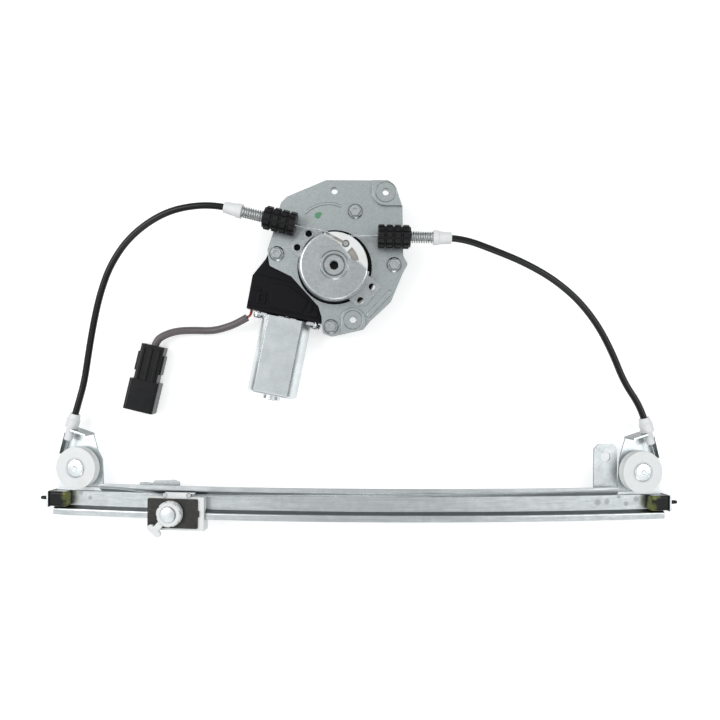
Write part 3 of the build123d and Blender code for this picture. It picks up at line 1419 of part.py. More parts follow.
# Bushes that carry the armature shaft
bush_outer = 5.4 - SEAT_GAP
shaft_bushes = []
for start, length in ((TAIL_END + 0.4, 6.0), (CAN_START - 20.0, 5.0)):
    with BuildPart() as bush:
        with BuildSketch(worm_plane.offset(start)):
            Circle(6.2 - SEAT_GAP)
            Circle(SHAFT_PIN + RUNNING_GAP, mode=Mode.SUBTRACT)
        extrude(amount=length)
    shaft_bushes.append(bush.part)
with BuildPart() as can_bush:
    with BuildSketch(worm_plane.offset(CAN_START + CAN_LENGTH - CAN_WALL - 3.0)):
        Circle(bush_outer)
        Circle(SHAFT_PIN + RUNNING_GAP, mode=Mode.SUBTRACT)
    extrude(amount=5.2)
shaft_bushes.append(can_bush.part)
save(Compound(children=shaft_bushes), "shaft_bushes")

# Brush holder plate with its two carbon brushes
HOLDER_START = CAN_START - 14.0
with BuildPart() as brush_holder:
    with BuildSketch(worm_plane.offset(HOLDER_START)):
        RectangleRounded(43.6, 19.6, 3.8)
        Circle(SHAFT_PIN + 1.6, mode=Mode.SUBTRACT)
    extrude(amount=2.0)
    for x in (-1, 1):
        with BuildSketch(worm_plane.offset(HOLDER_START + 2.0)):
            with Locations((x * 12.4, 0)):
                Rectangle(9.0, 8.0)
                Rectangle(9.0, 5.1, mode=Mode.SUBTRACT)
        extrude(amount=23.0)
save(brush_holder.part, "brush_holder")

brushes = []
for x in (-1, 1):
    with BuildPart() as brush:
        with BuildSketch(worm_plane.offset(COMMUTATOR_START + 2.0)):
            with Locations((x * (COMMUTATOR_RADIUS + 4.6), 0)):
                Rectangle(9.0, 5.0)
            Circle(COMMUTATOR_RADIUS + 0.08, mode=Mode.SUBTRACT)
        extrude(amount=6.0)
    brushes.append(brush.part)
save(Compound(children=brushes), "carbon_brushes")

# Rubber seal between the housing and its back cover
with BuildPart() as housing_seal:
    with BuildSketch(hub.offset(HOUSING_BOTTOM)):
        Circle(chamber_radius - 0.02)
        Circle(chamber_radius - 0.28, mode=Mode.SUBTRACT)
    extrude(amount=1.4)
save(housing_seal.part, "housing_seal")

# Motor lead: two wires, a flexible sleeve and the plug that lies on the surface
lead_direction = radians(270 - PLUG_ANGLE)
plug_heading = Vector(cos(lead_direction), sin(lead_direction), 0)
PLUG_TOP = Vector(-171.6, 10.9, SHROUD_DEPTH / 2 + 0.02)
plug_plane = Plane(origin=PLUG_TOP, x_dir=Vector(-plug_heading.Y, plug_heading.X, 0), z_dir=plug_heading)
lead_route = [
    Vector(-93.9, 34.6, 14.0),
    Vector(-101.8, 30.0, 13.0),
    Vector(-112.0, 26.2, 10.6),
    Vector(-124.0, 23.4, 8.2),
    Vector(-139.6, 23.9, 7.4),
    Vector(-153.0, 23.3, 7.8),
    Vector(-163.2, 20.0, 8.4),
    point_on(plug_plane, 0.2, 0, -4.6),
    point_on(plug_plane, 0, 0, 2.8),
]
save(cord(lead_route, LEAD_RADIUS, "lead_sleeve"), "lead_sleeve")
lead_back = (lead_route[0] - lead_route[1]).normalized()
wires = []
for z in (1.2, -1.6):
    leave = point_on(worm_plane, WIRE_EXIT_X, z, CAN_START - 8.0)
    turn_out = point_on(worm_plane, WIRE_EXIT_X, z * 0.9, CAN_START + 0.5)
    entry = lead_route[0] + lead_back * 0.25 + UP * z * 0.8
    wires.append(cord([leave, turn_out, entry + lead_back * 3.4, entry], WIRE_RADIUS, "lead_wire"))
save(Compound(children=wires), "lead_wires")

with BuildPart() as plug_housing:
    with BuildSketch(plug_plane):
        RectangleRounded(PLUG_WIDTH - 3, PLUG_DEPTH, 2)
    extrude(amount=PLUG_LENGTH)
    for x in (-1, 1):
        with BuildSketch(plug_plane.offset(7)):
            with Locations((x * (PLUG_WIDTH / 2 - 1.2), 0)):
                Rectangle(2.4, 9)
        extrude(amount=16)
    for x in (-6.5, 0, 6.5):
        with BuildSketch(plug_plane.offset(3)):
            with Locations((x, PLUG_DEPTH / 2)):
                Rectangle(2.2, 2.2)
        extrude(amount=PLUG_LENGTH - 3)
    with BuildSketch(plug_plane.offset(PLUG_LENGTH)):
        RectangleRounded(SHROUD_WIDTH, SHROUD_DEPTH, 2.5)
    extrude(amount=SHROUD_LENGTH)
    with BuildSketch(plug_plane.offset(PLUG_LENGTH + 3)):
        RectangleRounded(SHROUD_WIDTH - 3.4, SHROUD_DEPTH - 3.4, 1.5)
    extrude(amount=SHROUD_LENGTH, mode=Mode.SUBTRACT)
    with BuildSketch(plug_plane):
        Circle(LEAD_RADIUS + 0.1)
    extrude(amount=3.0, mode=Mode.SUBTRACT)
    with BuildSketch(plug_plane.offset(PLUG_LENGTH - 8)):
        with Locations((-5, 0), (5, 0)):
            Rectangle(3.0, 1.0)
    extrude(amount=12, mode=Mode.SUBTRACT)
save(plug_housing.part, "plug_housing")

terminals = []
for x in (-5, 5):
    with BuildPart() as terminal:
        with BuildSketch(plug_plane.offset(PLUG_LENGTH - 7.5)):
            with Locations((x, 0)):
                Rectangle(2.96, 0.96)
        extrude(amount=24.0)
    terminals.append(terminal.part)
save(Compound(children=terminals), "plug_terminals")
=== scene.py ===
import json
from math import cos, pi, radians, sin

import bpy
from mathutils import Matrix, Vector
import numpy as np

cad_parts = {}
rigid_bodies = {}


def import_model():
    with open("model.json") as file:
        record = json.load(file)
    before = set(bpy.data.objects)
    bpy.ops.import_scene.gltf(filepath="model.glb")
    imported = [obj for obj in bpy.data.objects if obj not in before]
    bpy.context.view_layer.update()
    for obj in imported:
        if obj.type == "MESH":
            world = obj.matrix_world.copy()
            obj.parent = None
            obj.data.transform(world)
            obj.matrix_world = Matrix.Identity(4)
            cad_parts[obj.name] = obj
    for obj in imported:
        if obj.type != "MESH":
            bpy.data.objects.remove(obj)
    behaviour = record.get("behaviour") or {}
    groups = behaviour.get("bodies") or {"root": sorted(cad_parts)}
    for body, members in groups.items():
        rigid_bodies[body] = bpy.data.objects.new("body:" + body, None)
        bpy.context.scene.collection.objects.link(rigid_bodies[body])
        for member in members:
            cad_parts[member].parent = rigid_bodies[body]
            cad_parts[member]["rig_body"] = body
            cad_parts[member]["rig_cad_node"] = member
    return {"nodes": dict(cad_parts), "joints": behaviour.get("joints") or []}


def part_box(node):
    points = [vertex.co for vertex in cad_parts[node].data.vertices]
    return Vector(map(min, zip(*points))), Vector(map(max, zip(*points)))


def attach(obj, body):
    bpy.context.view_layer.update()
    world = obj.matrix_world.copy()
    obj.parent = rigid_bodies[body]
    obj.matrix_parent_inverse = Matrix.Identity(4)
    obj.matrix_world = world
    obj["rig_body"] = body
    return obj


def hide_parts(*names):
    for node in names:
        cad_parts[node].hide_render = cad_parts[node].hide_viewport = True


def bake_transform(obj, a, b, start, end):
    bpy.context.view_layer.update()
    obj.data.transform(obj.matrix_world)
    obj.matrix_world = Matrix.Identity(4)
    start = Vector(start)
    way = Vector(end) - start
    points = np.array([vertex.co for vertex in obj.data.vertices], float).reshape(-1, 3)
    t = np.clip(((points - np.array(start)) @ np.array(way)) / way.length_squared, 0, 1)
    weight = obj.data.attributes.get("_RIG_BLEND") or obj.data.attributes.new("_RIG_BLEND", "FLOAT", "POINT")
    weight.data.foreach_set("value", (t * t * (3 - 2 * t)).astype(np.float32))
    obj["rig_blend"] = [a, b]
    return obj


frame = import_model()
nodes = frame["nodes"]
joints = {joint["name"]: joint for joint in frame["joints"]}
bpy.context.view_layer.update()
MM = 0.001

# Camera: it looks straight down on the regulator, which lies on its back on a white table.
# It is turned a little, because the rail isn't quite level in the picture.
CAMERA_HEIGHT = 0.65
PICTURE_TURN = 0.415
camera_data = bpy.data.cameras.new("camera")
camera_data.sensor_width = 36
camera_data.lens = 38.33
camera = bpy.data.objects.new("camera", camera_data)
camera.location = (0, 0, CAMERA_HEIGHT)
camera.rotation_euler = (0, 0, radians(PICTURE_TURN))
bpy.context.scene.collection.objects.link(camera)
bpy.context.scene.camera = camera
bpy.context.scene.view_settings.view_transform = "Standard"


def add_node(tree, kind, inputs=None, **settings):
    """A shader node of that kind with its settings, and the values or links of its inputs."""
    node = tree.nodes.new(kind)
    for name, value in settings.items():
        setattr(node, name, value)
    for name, value in (inputs or {}).items():
        socket = node.inputs[name]
        if isinstance(value, bpy.types.NodeSocket):
            tree.links.new(value, socket)
        else:
            socket.default_value = value
    return node


def new_material(name):
    """An empty node material and its tree."""
    material = bpy.data.materials.new(name)
    material.use_nodes = True
    material.node_tree.nodes.clear()
    return material, material.node_tree


# Table: a white board under the regulator, lit so that it clips to white in view
# and keeps only the soft shadow close to the parts.
TABLE_SIZE = 6.0
bpy.ops.object.select_all(action="DESELECT")
bpy.ops.mesh.primitive_plane_add(size=TABLE_SIZE, location=(0, 0, -0.0002))
table = bpy.context.active_object
table.name = "table"
bpy.ops.object.transform_apply(location=True)
table_white, tree = new_material("table_white")
path = add_node(tree, "ShaderNodeLightPath")
seen = add_node(
    tree,
    "ShaderNodeMath",
    {0: path.outputs["Is Camera Ray"], 1: path.outputs["Is Glossy Ray"]},
    operation="MAXIMUM",
)
seen = add_node(
    tree,
    "ShaderNodeMath",
    {0: seen.outputs[0], 1: path.outputs["Is Transmission Ray"]},
    operation="MAXIMUM",
)
board = add_node(tree, "ShaderNodeBsdfDiffuse", {"Color": (0.86, 0.86, 0.86, 1)})
glow_strength = add_node(tree, "ShaderNodeMath", {0: seen.outputs[0], 1: 0.42}, operation="MULTIPLY")
glow = add_node(tree, "ShaderNodeEmission", {"Strength": glow_strength.outputs[0]})
both = add_node(tree, "ShaderNodeAddShader", {0: board.outputs[0], 1: glow.outputs[0]})
add_node(tree, "ShaderNodeOutputMaterial", {"Surface": both.outputs[0]})
table.data.materials.append(table_white)

# Studio light: a room like soft boxes all round, dim at the table's height, brightest well
# above it and darker straight overhead, where the camera stands. Three soft lamps stand at
# both sides and near the viewer.
world = bpy.data.worlds.new("studio")
world.use_nodes = True
tree = world.node_tree
tree.nodes.clear()
path = add_node(tree, "ShaderNodeLightPath")
seen = add_node(
    tree,
    "ShaderNodeMath",
    {0: path.outputs["Is Camera Ray"], 1: path.outputs["Is Transmission Ray"]},
    operation="MAXIMUM",
)
white_room = add_node(tree, "ShaderNodeBackground", {"Color": (1, 1, 1, 1), "Strength": 1.0})
direction = add_node(tree, "ShaderNodeTexCoord").outputs["Generated"]
upward = add_node(tree, "ShaderNodeSeparateXYZ", {"Vector": direction})
rising = add_node(
    tree,
    "ShaderNodeMapRange",
    {"Value": upward.outputs["Z"], "From Min": 0.30, "From Max": 0.82, "To Min": 0.20, "To Max": 0.96},
    interpolation_type="SMOOTHSTEP",
)
dimmer = add_node(
    tree,
    "ShaderNodeMapRange",
    {"Value": upward.outputs["Z"], "From Min": 0.86, "From Max": 1.0, "To Min": 1.0, "To Max": 0.58},
    interpolation_type="SMOOTHSTEP",
)
brightness = add_node(
    tree, "ShaderNodeMath", {0: rising.outputs[0], 1: dimmer.outputs[0]}, operation="MULTIPLY"
)
grey_room = add_node(
    tree, "ShaderNodeBackground", {"Color": (0.97, 0.99, 1.0, 1), "Strength": brightness.outputs[0]}
)
room = add_node(
    tree,
    "ShaderNodeMixShader",
    {0: seen.outputs[0], 1: grey_room.outputs[0], 2: white_room.outputs[0]},
)
add_node(tree, "ShaderNodeOutputWorld", {"Surface": room.outputs[0]})
bpy.context.scene.world = world
for side, size, energy, position in (
    ("left", 0.8, 6.0, (-0.9, 0.3, 1.0)),
    ("right", 0.7, 3.5, (1.0, 0.2, 1.0)),
    ("near", 0.6, 2.0, (0.1, -1.1, 0.8)),
):
    lamp_data = bpy.data.lights.new(f"{side}_lamp", "AREA")
    lamp_data.shape = "SQUARE"
    lamp_data.size = size
    lamp_data.energy = energy
    lamp = bpy.data.objects.new(f"{side}_lamp", lamp_data)
    lamp.location = position
    lamp.rotation_euler = (Vector((0, 0, 0)) - lamp.location).to_track_quat("-Z", "Y").to_euler()
    bpy.context.scene.collection.objects.link(lamp)


def new_group(name, inputs, outputs):
    """A shader node group with those sockets, and its own input and output nodes."""
    group = bpy.data.node_groups.new(name, "ShaderNodeTree")
    for direction, sockets in (("INPUT", inputs), ("OUTPUT", outputs)):
        for socket_name, kind in sockets:
            group.interface.new_socket(socket_name, in_out=direction, socket_type=kind)
    return group, group.nodes.new("NodeGroupInput"), group.nodes.new("NodeGroupOutput")


def place_group(tree, group, inputs):
    """That node group in a material, with its inputs set."""
    node = add_node(tree, "ShaderNodeGroup", node_tree=group)
    for name, value in inputs.items():
        if isinstance(value, bpy.types.NodeSocket):
            tree.links.new(value, node.inputs[name])
        else:
            node.inputs[name].default_value = value
    return node


# Guide rail: a channel rolled from galvanised strip. Rolling leaves long streaks and fine lines
# along it, the zinc is cloudy, and the shoe polishes its lips.
FLOAT = "NodeSocketFloat"
VECTOR = "NodeSocketVector"
streaks, given, result = new_group(
    "rolling_streaks", [("Vector", VECTOR), ("Along", FLOAT), ("Across", FLOAT)], [("Mask", FLOAT)]
)
stretch = add_node(
    streaks,
    "ShaderNodeCombineXYZ",
    {"X": given.outputs["Along"], "Y": given.outputs["Across"], "Z": given.outputs["Across"]},
)
stretched = add_node(
    streaks,
    "ShaderNodeVectorMath",
    {0: given.outputs["Vector"], 1: stretch.outputs[0]},
    operation="MULTIPLY",
)
lines = add_node(
    streaks,
    "ShaderNodeTexNoise",
    {"Vector": stretched.outputs[0], "Scale": 1.0, "Detail": 5.0, "Roughness": 0.62, "Distortion": 0.15},
)
spread = add_node(
    streaks, "ShaderNodeMapRange", {"Value": lines.outputs[0], "From Min": 0.32, "From Max": 0.68}
)
streaks.links.new(spread.outputs[0], result.inputs["Mask"])

clouds, given, result = new_group(
    "zinc_clouds", [("Vector", VECTOR), ("Size", FLOAT)], [("Mask", FLOAT), ("Grain", FLOAT)]
)
coarse = add_node(
    clouds,
    "ShaderNodeTexNoise",
    {
        "Vector": given.outputs["Vector"],
        "Scale": given.outputs["Size"],
        "Detail": 6.0,
        "Roughness": 0.7,
        "Distortion": 0.4,
    },
)
cloudy = add_node(
    clouds, "ShaderNodeMapRange", {"Value": coarse.outputs[0], "From Min": 0.3, "From Max": 0.7}
)
crystal_size = add_node(
    clouds, "ShaderNodeMath", {0: given.outputs["Size"], 1: 9.0}, operation="MULTIPLY"
)
crystals = add_node(
    clouds,
    "ShaderNodeTexVoronoi",
    {"Vector": given.outputs["Vector"], "Scale": crystal_size.outputs[0], "Randomness": 1.0},
)
speck = add_node(clouds, "ShaderNodeSeparateColor", {"Color": crystals.outputs["Color"]})
clouds.links.new(cloudy.outputs[0], result.inputs["Mask"])
clouds.links.new(speck.outputs[0], result.inputs["Grain"])

scratches, given, result = new_group(
    "fine_scratches", [("Vector", VECTOR), ("Scale", FLOAT)], [("Mask", FLOAT)]
)
found = None
for turn, squeeze in ((25, 14.0), (-50, 18.0), (80, 22.0)):
    turned = add_node(
        scratches,
        "ShaderNodeMapping",
        {
            "Vector": given.outputs["Vector"],
            "Rotation": (0, 0, radians(turn)),
            "Scale": (1.0, squeeze, 1.0),
        },
    )
    noise = add_node(
        scratches,
        "ShaderNodeTexNoise",
        {"Vector": turned.outputs[0], "Scale": given.outputs["Scale"], "Detail": 2.0, "Roughness": 0.5},
    )
    line = add_node(
        scratches,
        "ShaderNodeMapRange",
        {"Value": noise.outputs[0], "From Min": 0.66, "From Max": 0.72},
    )
    if found is None:
        found = line.outputs[0]
    else:
        found = add_node(
            scratches, "ShaderNodeMath", {0: found, 1: line.outputs[0]}, operation="MAXIMUM"
        ).outputs[0]
scratches.links.new(found, result.inputs["Mask"])


def blend_colour(tree, factor, first, second, mode="MIX"):
    """Two colours mixed by a mask."""
    mix = add_node(tree, "ShaderNodeMix", data_type="RGBA", blend_type=mode)
    for index, value in ((0, factor), (6, first), (7, second)):
        if isinstance(value, bpy.types.NodeSocket):
            tree.links.new(value, mix.inputs[index])
        else:
            mix.inputs[index].default_value = value
    return mix.outputs[2]


def grey(level, tint=(1.0, 1.0, 1.0)):
    """A colour of that level with a slight tint."""
    return (level * tint[0], level * tint[1], level * tint[2], 1.0)


COLD = (0.94, 0.99, 1.0)


def zinc(
    name, light, dark, rough=0.36, size=60.0, streak=None, scratch=0.35, bump=0.25, tint=COLD, edge=0.5
):
    """Zinc-plated or galvanised steel: cloudy, with grain, scratches and, on strip, streaks along it.
    Steep pressed walls and cut edges get painted shade: the colour darkens as a face turns away from level."""
    material, tree = new_material(name)
    place_node = add_node(tree, "ShaderNodeTexCoord")
    place = place_node.outputs["Object"]
    cloud = place_group(tree, clouds, {"Vector": place, "Size": size})
    tone = blend_colour(tree, cloud.outputs["Mask"], grey(dark, tint), grey(light, tint))
    tone = blend_colour(tree, 0.10, tone, cloud.outputs["Grain"], "OVERLAY")
    height = cloud.outputs["Grain"]
    if streak:
        along, across, share = streak
        line = place_group(tree, streaks, {"Vector": place, "Along": along, "Across": across})
        weight = add_node(
            tree, "ShaderNodeMath", {0: line.outputs[0], 1: share}, operation="MULTIPLY"
        ).outputs[0]
        tone = blend_colour(tree, weight, tone, grey(dark * 0.62, tint))
        height = line.outputs[0]
    mark = place_group(tree, scratches, {"Vector": place, "Scale": size * 0.9})
    weight = add_node(
        tree, "ShaderNodeMath", {0: mark.outputs[0], 1: scratch}, operation="MULTIPLY"
    ).outputs[0]
    tone = blend_colour(tree, weight, tone, grey(min(1.0, light * 1.25), tint))
    # Painted shade: steep pressed walls and cut edges darken towards grey(dark * 0.30) as a face turns away
    # from level; edge sets how much.
    facing = add_node(tree, "ShaderNodeSeparateXYZ", {"Vector": place_node.outputs["Normal"]})
    level = add_node(tree, "ShaderNodeMath", {0: facing.outputs["Z"]}, operation="ABSOLUTE")
    steep_wall_shade = add_node(
        tree,
        "ShaderNodeMapRange",
        {"Value": level.outputs[0], "From Min": 0.92, "From Max": 0.35, "To Min": 0.0, "To Max": edge},
    )
    tone = blend_colour(tree, steep_wall_shade.outputs[0], tone, grey(dark * 0.30, tint))
    shine = add_node(
        tree,
        "ShaderNodeMapRange",
        {"Value": cloud.outputs["Mask"], "To Min": rough + 0.10, "To Max": rough - 0.06},
    )
    relief = add_node(tree, "ShaderNodeBump", {"Strength": bump, "Distance": 0.00005, "Height": height})
    shader = add_node(
        tree,
        "ShaderNodeBsdfPrincipled",
        {
            "Base Color": tone,
            "Metallic": 1.0,
            "Roughness": shine.outputs[0],
            "Normal": relief.outputs[0],
        },
    )
    add_node(tree, "ShaderNodeOutputMaterial", {"Surface": shader.outputs[0]})
    return material


def activate(piece):
    """Deselects everything and makes this piece the one that operators act on."""
    bpy.ops.object.select_all(action="DESELECT")
    piece.select_set(True)
    bpy.context.view_layer.objects.active = piece


def softened(name, node, body, width, material):
    """A copy of a CAD solid with the small rounds of its real edges, which stands for the solid."""
    piece = nodes[node].copy()
    piece.data = nodes[node].data.copy()
    piece.parent = None
    piece.name = name
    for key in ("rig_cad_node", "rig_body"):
        del piece[key]
    bpy.context.scene.collection.objects.link(piece)
    activate(piece)
    if piece.data.has_custom_normals:
        bpy.ops.mesh.customdata_custom_splitnormals_clear()
    bpy.ops.object.mode_set(mode="EDIT")
    bpy.ops.mesh.select_all(action="SELECT")
    bpy.ops.mesh.remove_doubles(threshold=0.000002)
    bpy.ops.mesh.dissolve_limited(angle_limit=radians(0.6))
    bpy.ops.object.mode_set(mode="OBJECT")
    bevel = piece.modifiers.new("edges", "BEVEL")
    bevel.width = width * MM
    bevel.segments = 2
    bevel.limit_method = "ANGLE"
    bevel.angle_limit = radians(32)
    bpy.ops.object.modifier_apply(modifier=bevel.name)
    bpy.ops.object.shade_smooth_by_angle(angle=radians(34))
    flats = piece.modifiers.new("flats", "WEIGHTED_NORMAL")
    flats.keep_sharp = True
    flats.weight = 80
    bpy.ops.object.modifier_apply(modifier=flats.name)
    piece.data.materials.clear()
    piece.data.materials.append(material)
    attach(piece, body)
    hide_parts(node)
    return piece


def print_marks(material, marks, colour, size, strength):
    """Round marks with ragged edges on a material, each at x, y, z with its reach, in millimetres."""
    tree = material.node_tree
    shader = tree.nodes["Principled BSDF"]
    place = add_node(tree, "ShaderNodeTexCoord").outputs["Object"]
    wobble = add_node(tree, "ShaderNodeTexNoise", {"Vector": place, "Scale": 900.0, "Detail": 3.0})
    nearest = None
    for x, y, z, reach in marks:
        away = add_node(
            tree, "ShaderNodeVectorMath", {0: place, 1: (x * MM, y * MM, z * MM)}, operation="DISTANCE"
        )
        share = add_node(
            tree, "ShaderNodeMath", {0: away.outputs["Value"], 1: reach * MM}, operation="DIVIDE"
        ).outputs[0]
        if nearest is None:
            nearest = share
        else:
            nearest = add_node(
                tree, "ShaderNodeMath", {0: nearest, 1: share}, operation="MINIMUM"
            ).outputs[0]
    rough_edge = add_node(
        tree, "ShaderNodeMath", {0: wobble.outputs[0], 1: 0.5, 2: nearest}, operation="MULTIPLY_ADD"
    )
    mask = add_node(
        tree,
        "ShaderNodeMapRange",
        {
            "Value": rough_edge.outputs[0],
            "From Min": 1.25 + size,
            "From Max": 1.25 - size,
            "To Min": 0.0,
            "To Max": strength,
        },
    )
    before = shader.inputs["Base Color"].links[0].from_socket
    tree.links.new(blend_colour(tree, mask.outputs[0], before, colour), shader.inputs["Base Color"])


rail_zinc = zinc(
    "rail_zinc", 0.80, 0.60, 0.32, 26.0, streak=(7.0, 620.0, 0.5), scratch=0.2, bump=0.3, edge=0.9
)
# spot welds that hold the brackets and the tab behind the web
print_marks(
    rail_zinc,
    [
        (-233.4, -112.3, 8.0, 2.4),
        (-225.0, -116.9, 9.0, 1.7),
        (-240.3, -116.5, 7.0, 1.3),
        (198.6, -117.0, 12.6, 2.7),
        (206.6, -116.4, 11.5, 2.3),
        (223.4, -118.5, 9.0, 2.0),
        (232.4, -115.0, 7.8, 2.3),
        (217.0, -112.8, 9.8, 1.5),
    ],
    (0.26, 0.27, 0.27, 1),
    0.34,
    0.6,
)
softened("rail_channel", "guide_rail", "root", 0.2, rail_zinc)

# Rail mounting tab and pulley brackets: pressed from galvanised sheet, matt and cloudy, and
# spot-welded behind the rail.
bracket_zinc = zinc("bracket_zinc", 0.93, 0.84, 0.36, 75.0, scratch=0.25, edge=0.9)
tab_zinc = zinc("tab_zinc", 0.68, 0.58, 0.40, 90.0, scratch=0.3, edge=0.8)
softened("mounting_tab", "rail_mounting_tab", "root", 0.25, tab_zinc)
for hand in ("left", "right"):
    softened(
        f"{hand}_bracket_pressing", f"{hand}_pulley_bracket", "root", 0.25, bracket_zinc
    )

# Bright rivets, screws, eyelets, nuts and the small spring parts: zinc-plated steel, smooth and
# shiny. Each housing screw has a round flange on its shank and a hexagon head on the flange.
def dress(material, *names):
    """Gives CAD nodes or pieces this material."""
    for name in names:
        piece = nodes.get(name) or bpy.data.objects[name]
        piece.data.materials.clear()
        piece.data.materials.append(material)


def finish_mesh(piece, material, body, node):
    """Smooths a finished mesh, gives it its material and body, and lets it stand for a CAD node."""
    activate(piece)
    bpy.ops.object.transform_apply(location=True, rotation=True)
    bpy.ops.object.shade_smooth_by_angle(angle=radians(34))
    flats = piece.modifiers.new("flats", "WEIGHTED_NORMAL")
    flats.keep_sharp = True
    bpy.ops.object.modifier_apply(modifier=flats.name)
    piece.data.materials.append(material)
    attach(piece, body)
    if node:
        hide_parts(node)
    return piece


def lathe(name, origin, axis, profile, material, body, node, steps=72):
    """A turned piece from points of radius and height, in millimetres, about an axis of the part."""
    data = bpy.data.meshes.new(name)
    sides = [(i, i + 1) for i in range(len(profile) - 1)]
    data.from_pydata([(r * MM, 0, h * MM) for r, h in profile], sides, [])
    piece = bpy.data.objects.new(name, data)
    bpy.context.scene.collection.objects.link(piece)
    activate(piece)
    turn = piece.modifiers.new("turn", "SCREW")
    turn.steps = turn.render_steps = steps
    turn.use_merge_vertices = True
    turn.merge_threshold = 0.00001
    bpy.ops.object.modifier_apply(modifier=turn.name)
    bpy.ops.object.mode_set(mode="EDIT")
    bpy.ops.mesh.select_all(action="SELECT")
    bpy.ops.mesh.remove_doubles(threshold=0.00001)
    bpy.ops.mesh.normals_make_consistent(inside=False)
    bpy.ops.object.mode_set(mode="OBJECT")
    piece.rotation_euler = Vector(axis).to_track_quat("Z", "Y").to_euler()
    piece.location = origin
    return finish_mesh(piece, material, body, node)


bright_zinc = zinc("bright_zinc", 0.66, 0.50, 0.26, 240.0, scratch=0.2, bump=0.12, edge=0.6)
rivet_zinc = zinc("rivet_zinc", 0.95, 0.88, 0.22, 160.0, scratch=0.1, bump=0.1)
screw_zinc = zinc("screw_zinc", 0.84, 0.56, 0.20, 420.0, scratch=0.25, bump=0.2, edge=0.7)
dress(
    bright_zinc,
    "can_screws",
    "leaf_rivets",
    "knob_clip",
    "drum_nipple",
    "left_shoe_nipple",
    "right_shoe_nipple",
)
for hand in ("left", "right"):
    softened(f"{hand}_rivet_pin", f"{hand}_pulley_rivet", "root", 0.2, rivet_zinc)
PLATE_FRONT = 31.4
SCREW_CIRCLE = 48.0
FLANGE_PROFILE = [
    (0, -11.0),
    (2.85, -11.0),
    (2.85, 0.02),
    (6.1, 0.02),
    (6.1, 0.7),
    (5.0, 1.5),
    (0, 1.5),
]
HEAD_PROFILE = [(4.7, 1.2), (4.7, 4.3), (4.2, 4.7), (2.5, 4.7), (2.3, 2.9), (0, 2.9)]
hub = Vector(joints["drum_spin"]["pos_m"])
for number, turn in enumerate((167.2, 70.2, 2.8, 266.8), start=1):
    angle = radians(turn)
    seat = Vector((hub.x, hub.y, 0)) + Vector((cos(angle), sin(angle), 0)) * SCREW_CIRCLE * MM
    seat.z = PLATE_FRONT * MM
    for form, steps, profile in (("flange", 64, FLANGE_PROFILE), ("head", 6, HEAD_PROFILE)):
        lathe(
            f"screw_{form}_{number}",
            seat,
            (0, 0, 1),
            profile,
            screw_zinc,
            "root",
            "housing_screws",
            steps,
        )
softened("eyelets", "cover_eyelets", "root", 0.12, bright_zinc)
softened("weld_nuts", "plate_weld_nuts", "root", 0.15, bright_zinc)
softened("leaf_pressing", "slider_leaf", "slider", 0.15, tab_zinc)


# Nylon pulleys, ferrules, shoe, knob, drum and worm wheel: natural white moulded nylon,
# slightly milky, with faint flow marks and a thin film of grease where the cable runs.
def moulded(
    name, colour, rough=0.42, spread=0.06, size=180.0, bump=0.12, grime=None, mirror=0.5
):
    """Moulded plastic: a fine skin texture, slight shade differences and, if worn, grease in patches."""
    material, tree = new_material(name)
    place = add_node(tree, "ShaderNodeTexCoord").outputs["Object"]
    cloud = place_group(tree, clouds, {"Vector": place, "Size": size})
    shade = tuple(max(0.0, c * (1.0 - 2.2 * spread)) for c in colour[:3]) + (1.0,)
    tone = blend_colour(tree, cloud.outputs["Mask"], shade, colour)
    if grime:
        film = place_group(tree, clouds, {"Vector": place, "Size": 55.0})
        patch = add_node(
            tree,
            "ShaderNodeMapRange",
            {"Value": film.outputs["Mask"], "From Min": 0.62, "From Max": 1.0, "To Max": 0.35},
        )
        tone = blend_colour(tree, patch.outputs[0], tone, grime)
    shine = add_node(
        tree,
        "ShaderNodeMapRange",
        {"Value": cloud.outputs["Mask"], "To Min": rough + spread, "To Max": rough - spread},
    )
    skin = add_node(
        tree,
        "ShaderNodeTexNoise",
        {"Vector": place, "Scale": 2600.0, "Detail": 3.0, "Roughness": 0.6},
    )
    relief = add_node(
        tree, "ShaderNodeBump", {"Strength": bump, "Distance": 0.00004, "Height": skin.outputs[0]}
    )
    shader = add_node(
        tree,
        "ShaderNodeBsdfPrincipled",
        {
            "Base Color": tone,
            "Roughness": shine.outputs[0],
            "Normal": relief.outputs[0],
            "Specular IOR Level": mirror,
        },
    )
    add_node(tree, "ShaderNodeOutputMaterial", {"Surface": shader.outputs[0]})
    return material


nylon = moulded("white_nylon", (0.80, 0.815, 0.81, 1), 0.40, 0.03, 90.0, grime=(0.60, 0.60, 0.54, 1))
dress(nylon, "worm_wheel")
PULLEY_PROFILE = [
    (4.15, -4.0),
    (9.5, -4.0),
    (9.5, -2.6),
    (12.3, -2.6),
    (13.0, -4.0),
    (17.0, -4.0),
    (17.4, -3.8),
    (17.5, -3.4),
    (14.75, -0.85),
    (14.75, 0.85),
    (17.5, 3.4),
    (17.4, 3.8),
    (17.0, 4.0),
    (8.9, 4.0),
    (8.5, 3.7),
    (4.15, 3.7),
    (4.15, -4.0),
]
for hand in ("left", "right"):
    wheel = joints[f"{hand}_pulley_spin"]
    lathe(
        f"{hand}_pulley_wheel",
        Vector(wheel["pos_m"]),
        wheel["axis"],
        PULLEY_PROFILE,
        nylon,
        f"{hand}_wheel",
        f"{hand}_pulley",
        96,
    )
    softened(f"{hand}_lower_ferrule_body", f"{hand}_lower_ferrule", "root", 0.25, nylon)
    softened(
        f"{hand}_upper_ferrule_body", f"{hand}_upper_ferrule", f"{hand}_adjuster", 0.25, nylon
    )
softened("drum_body", "cable_drum", "drum", 0.15, nylon)
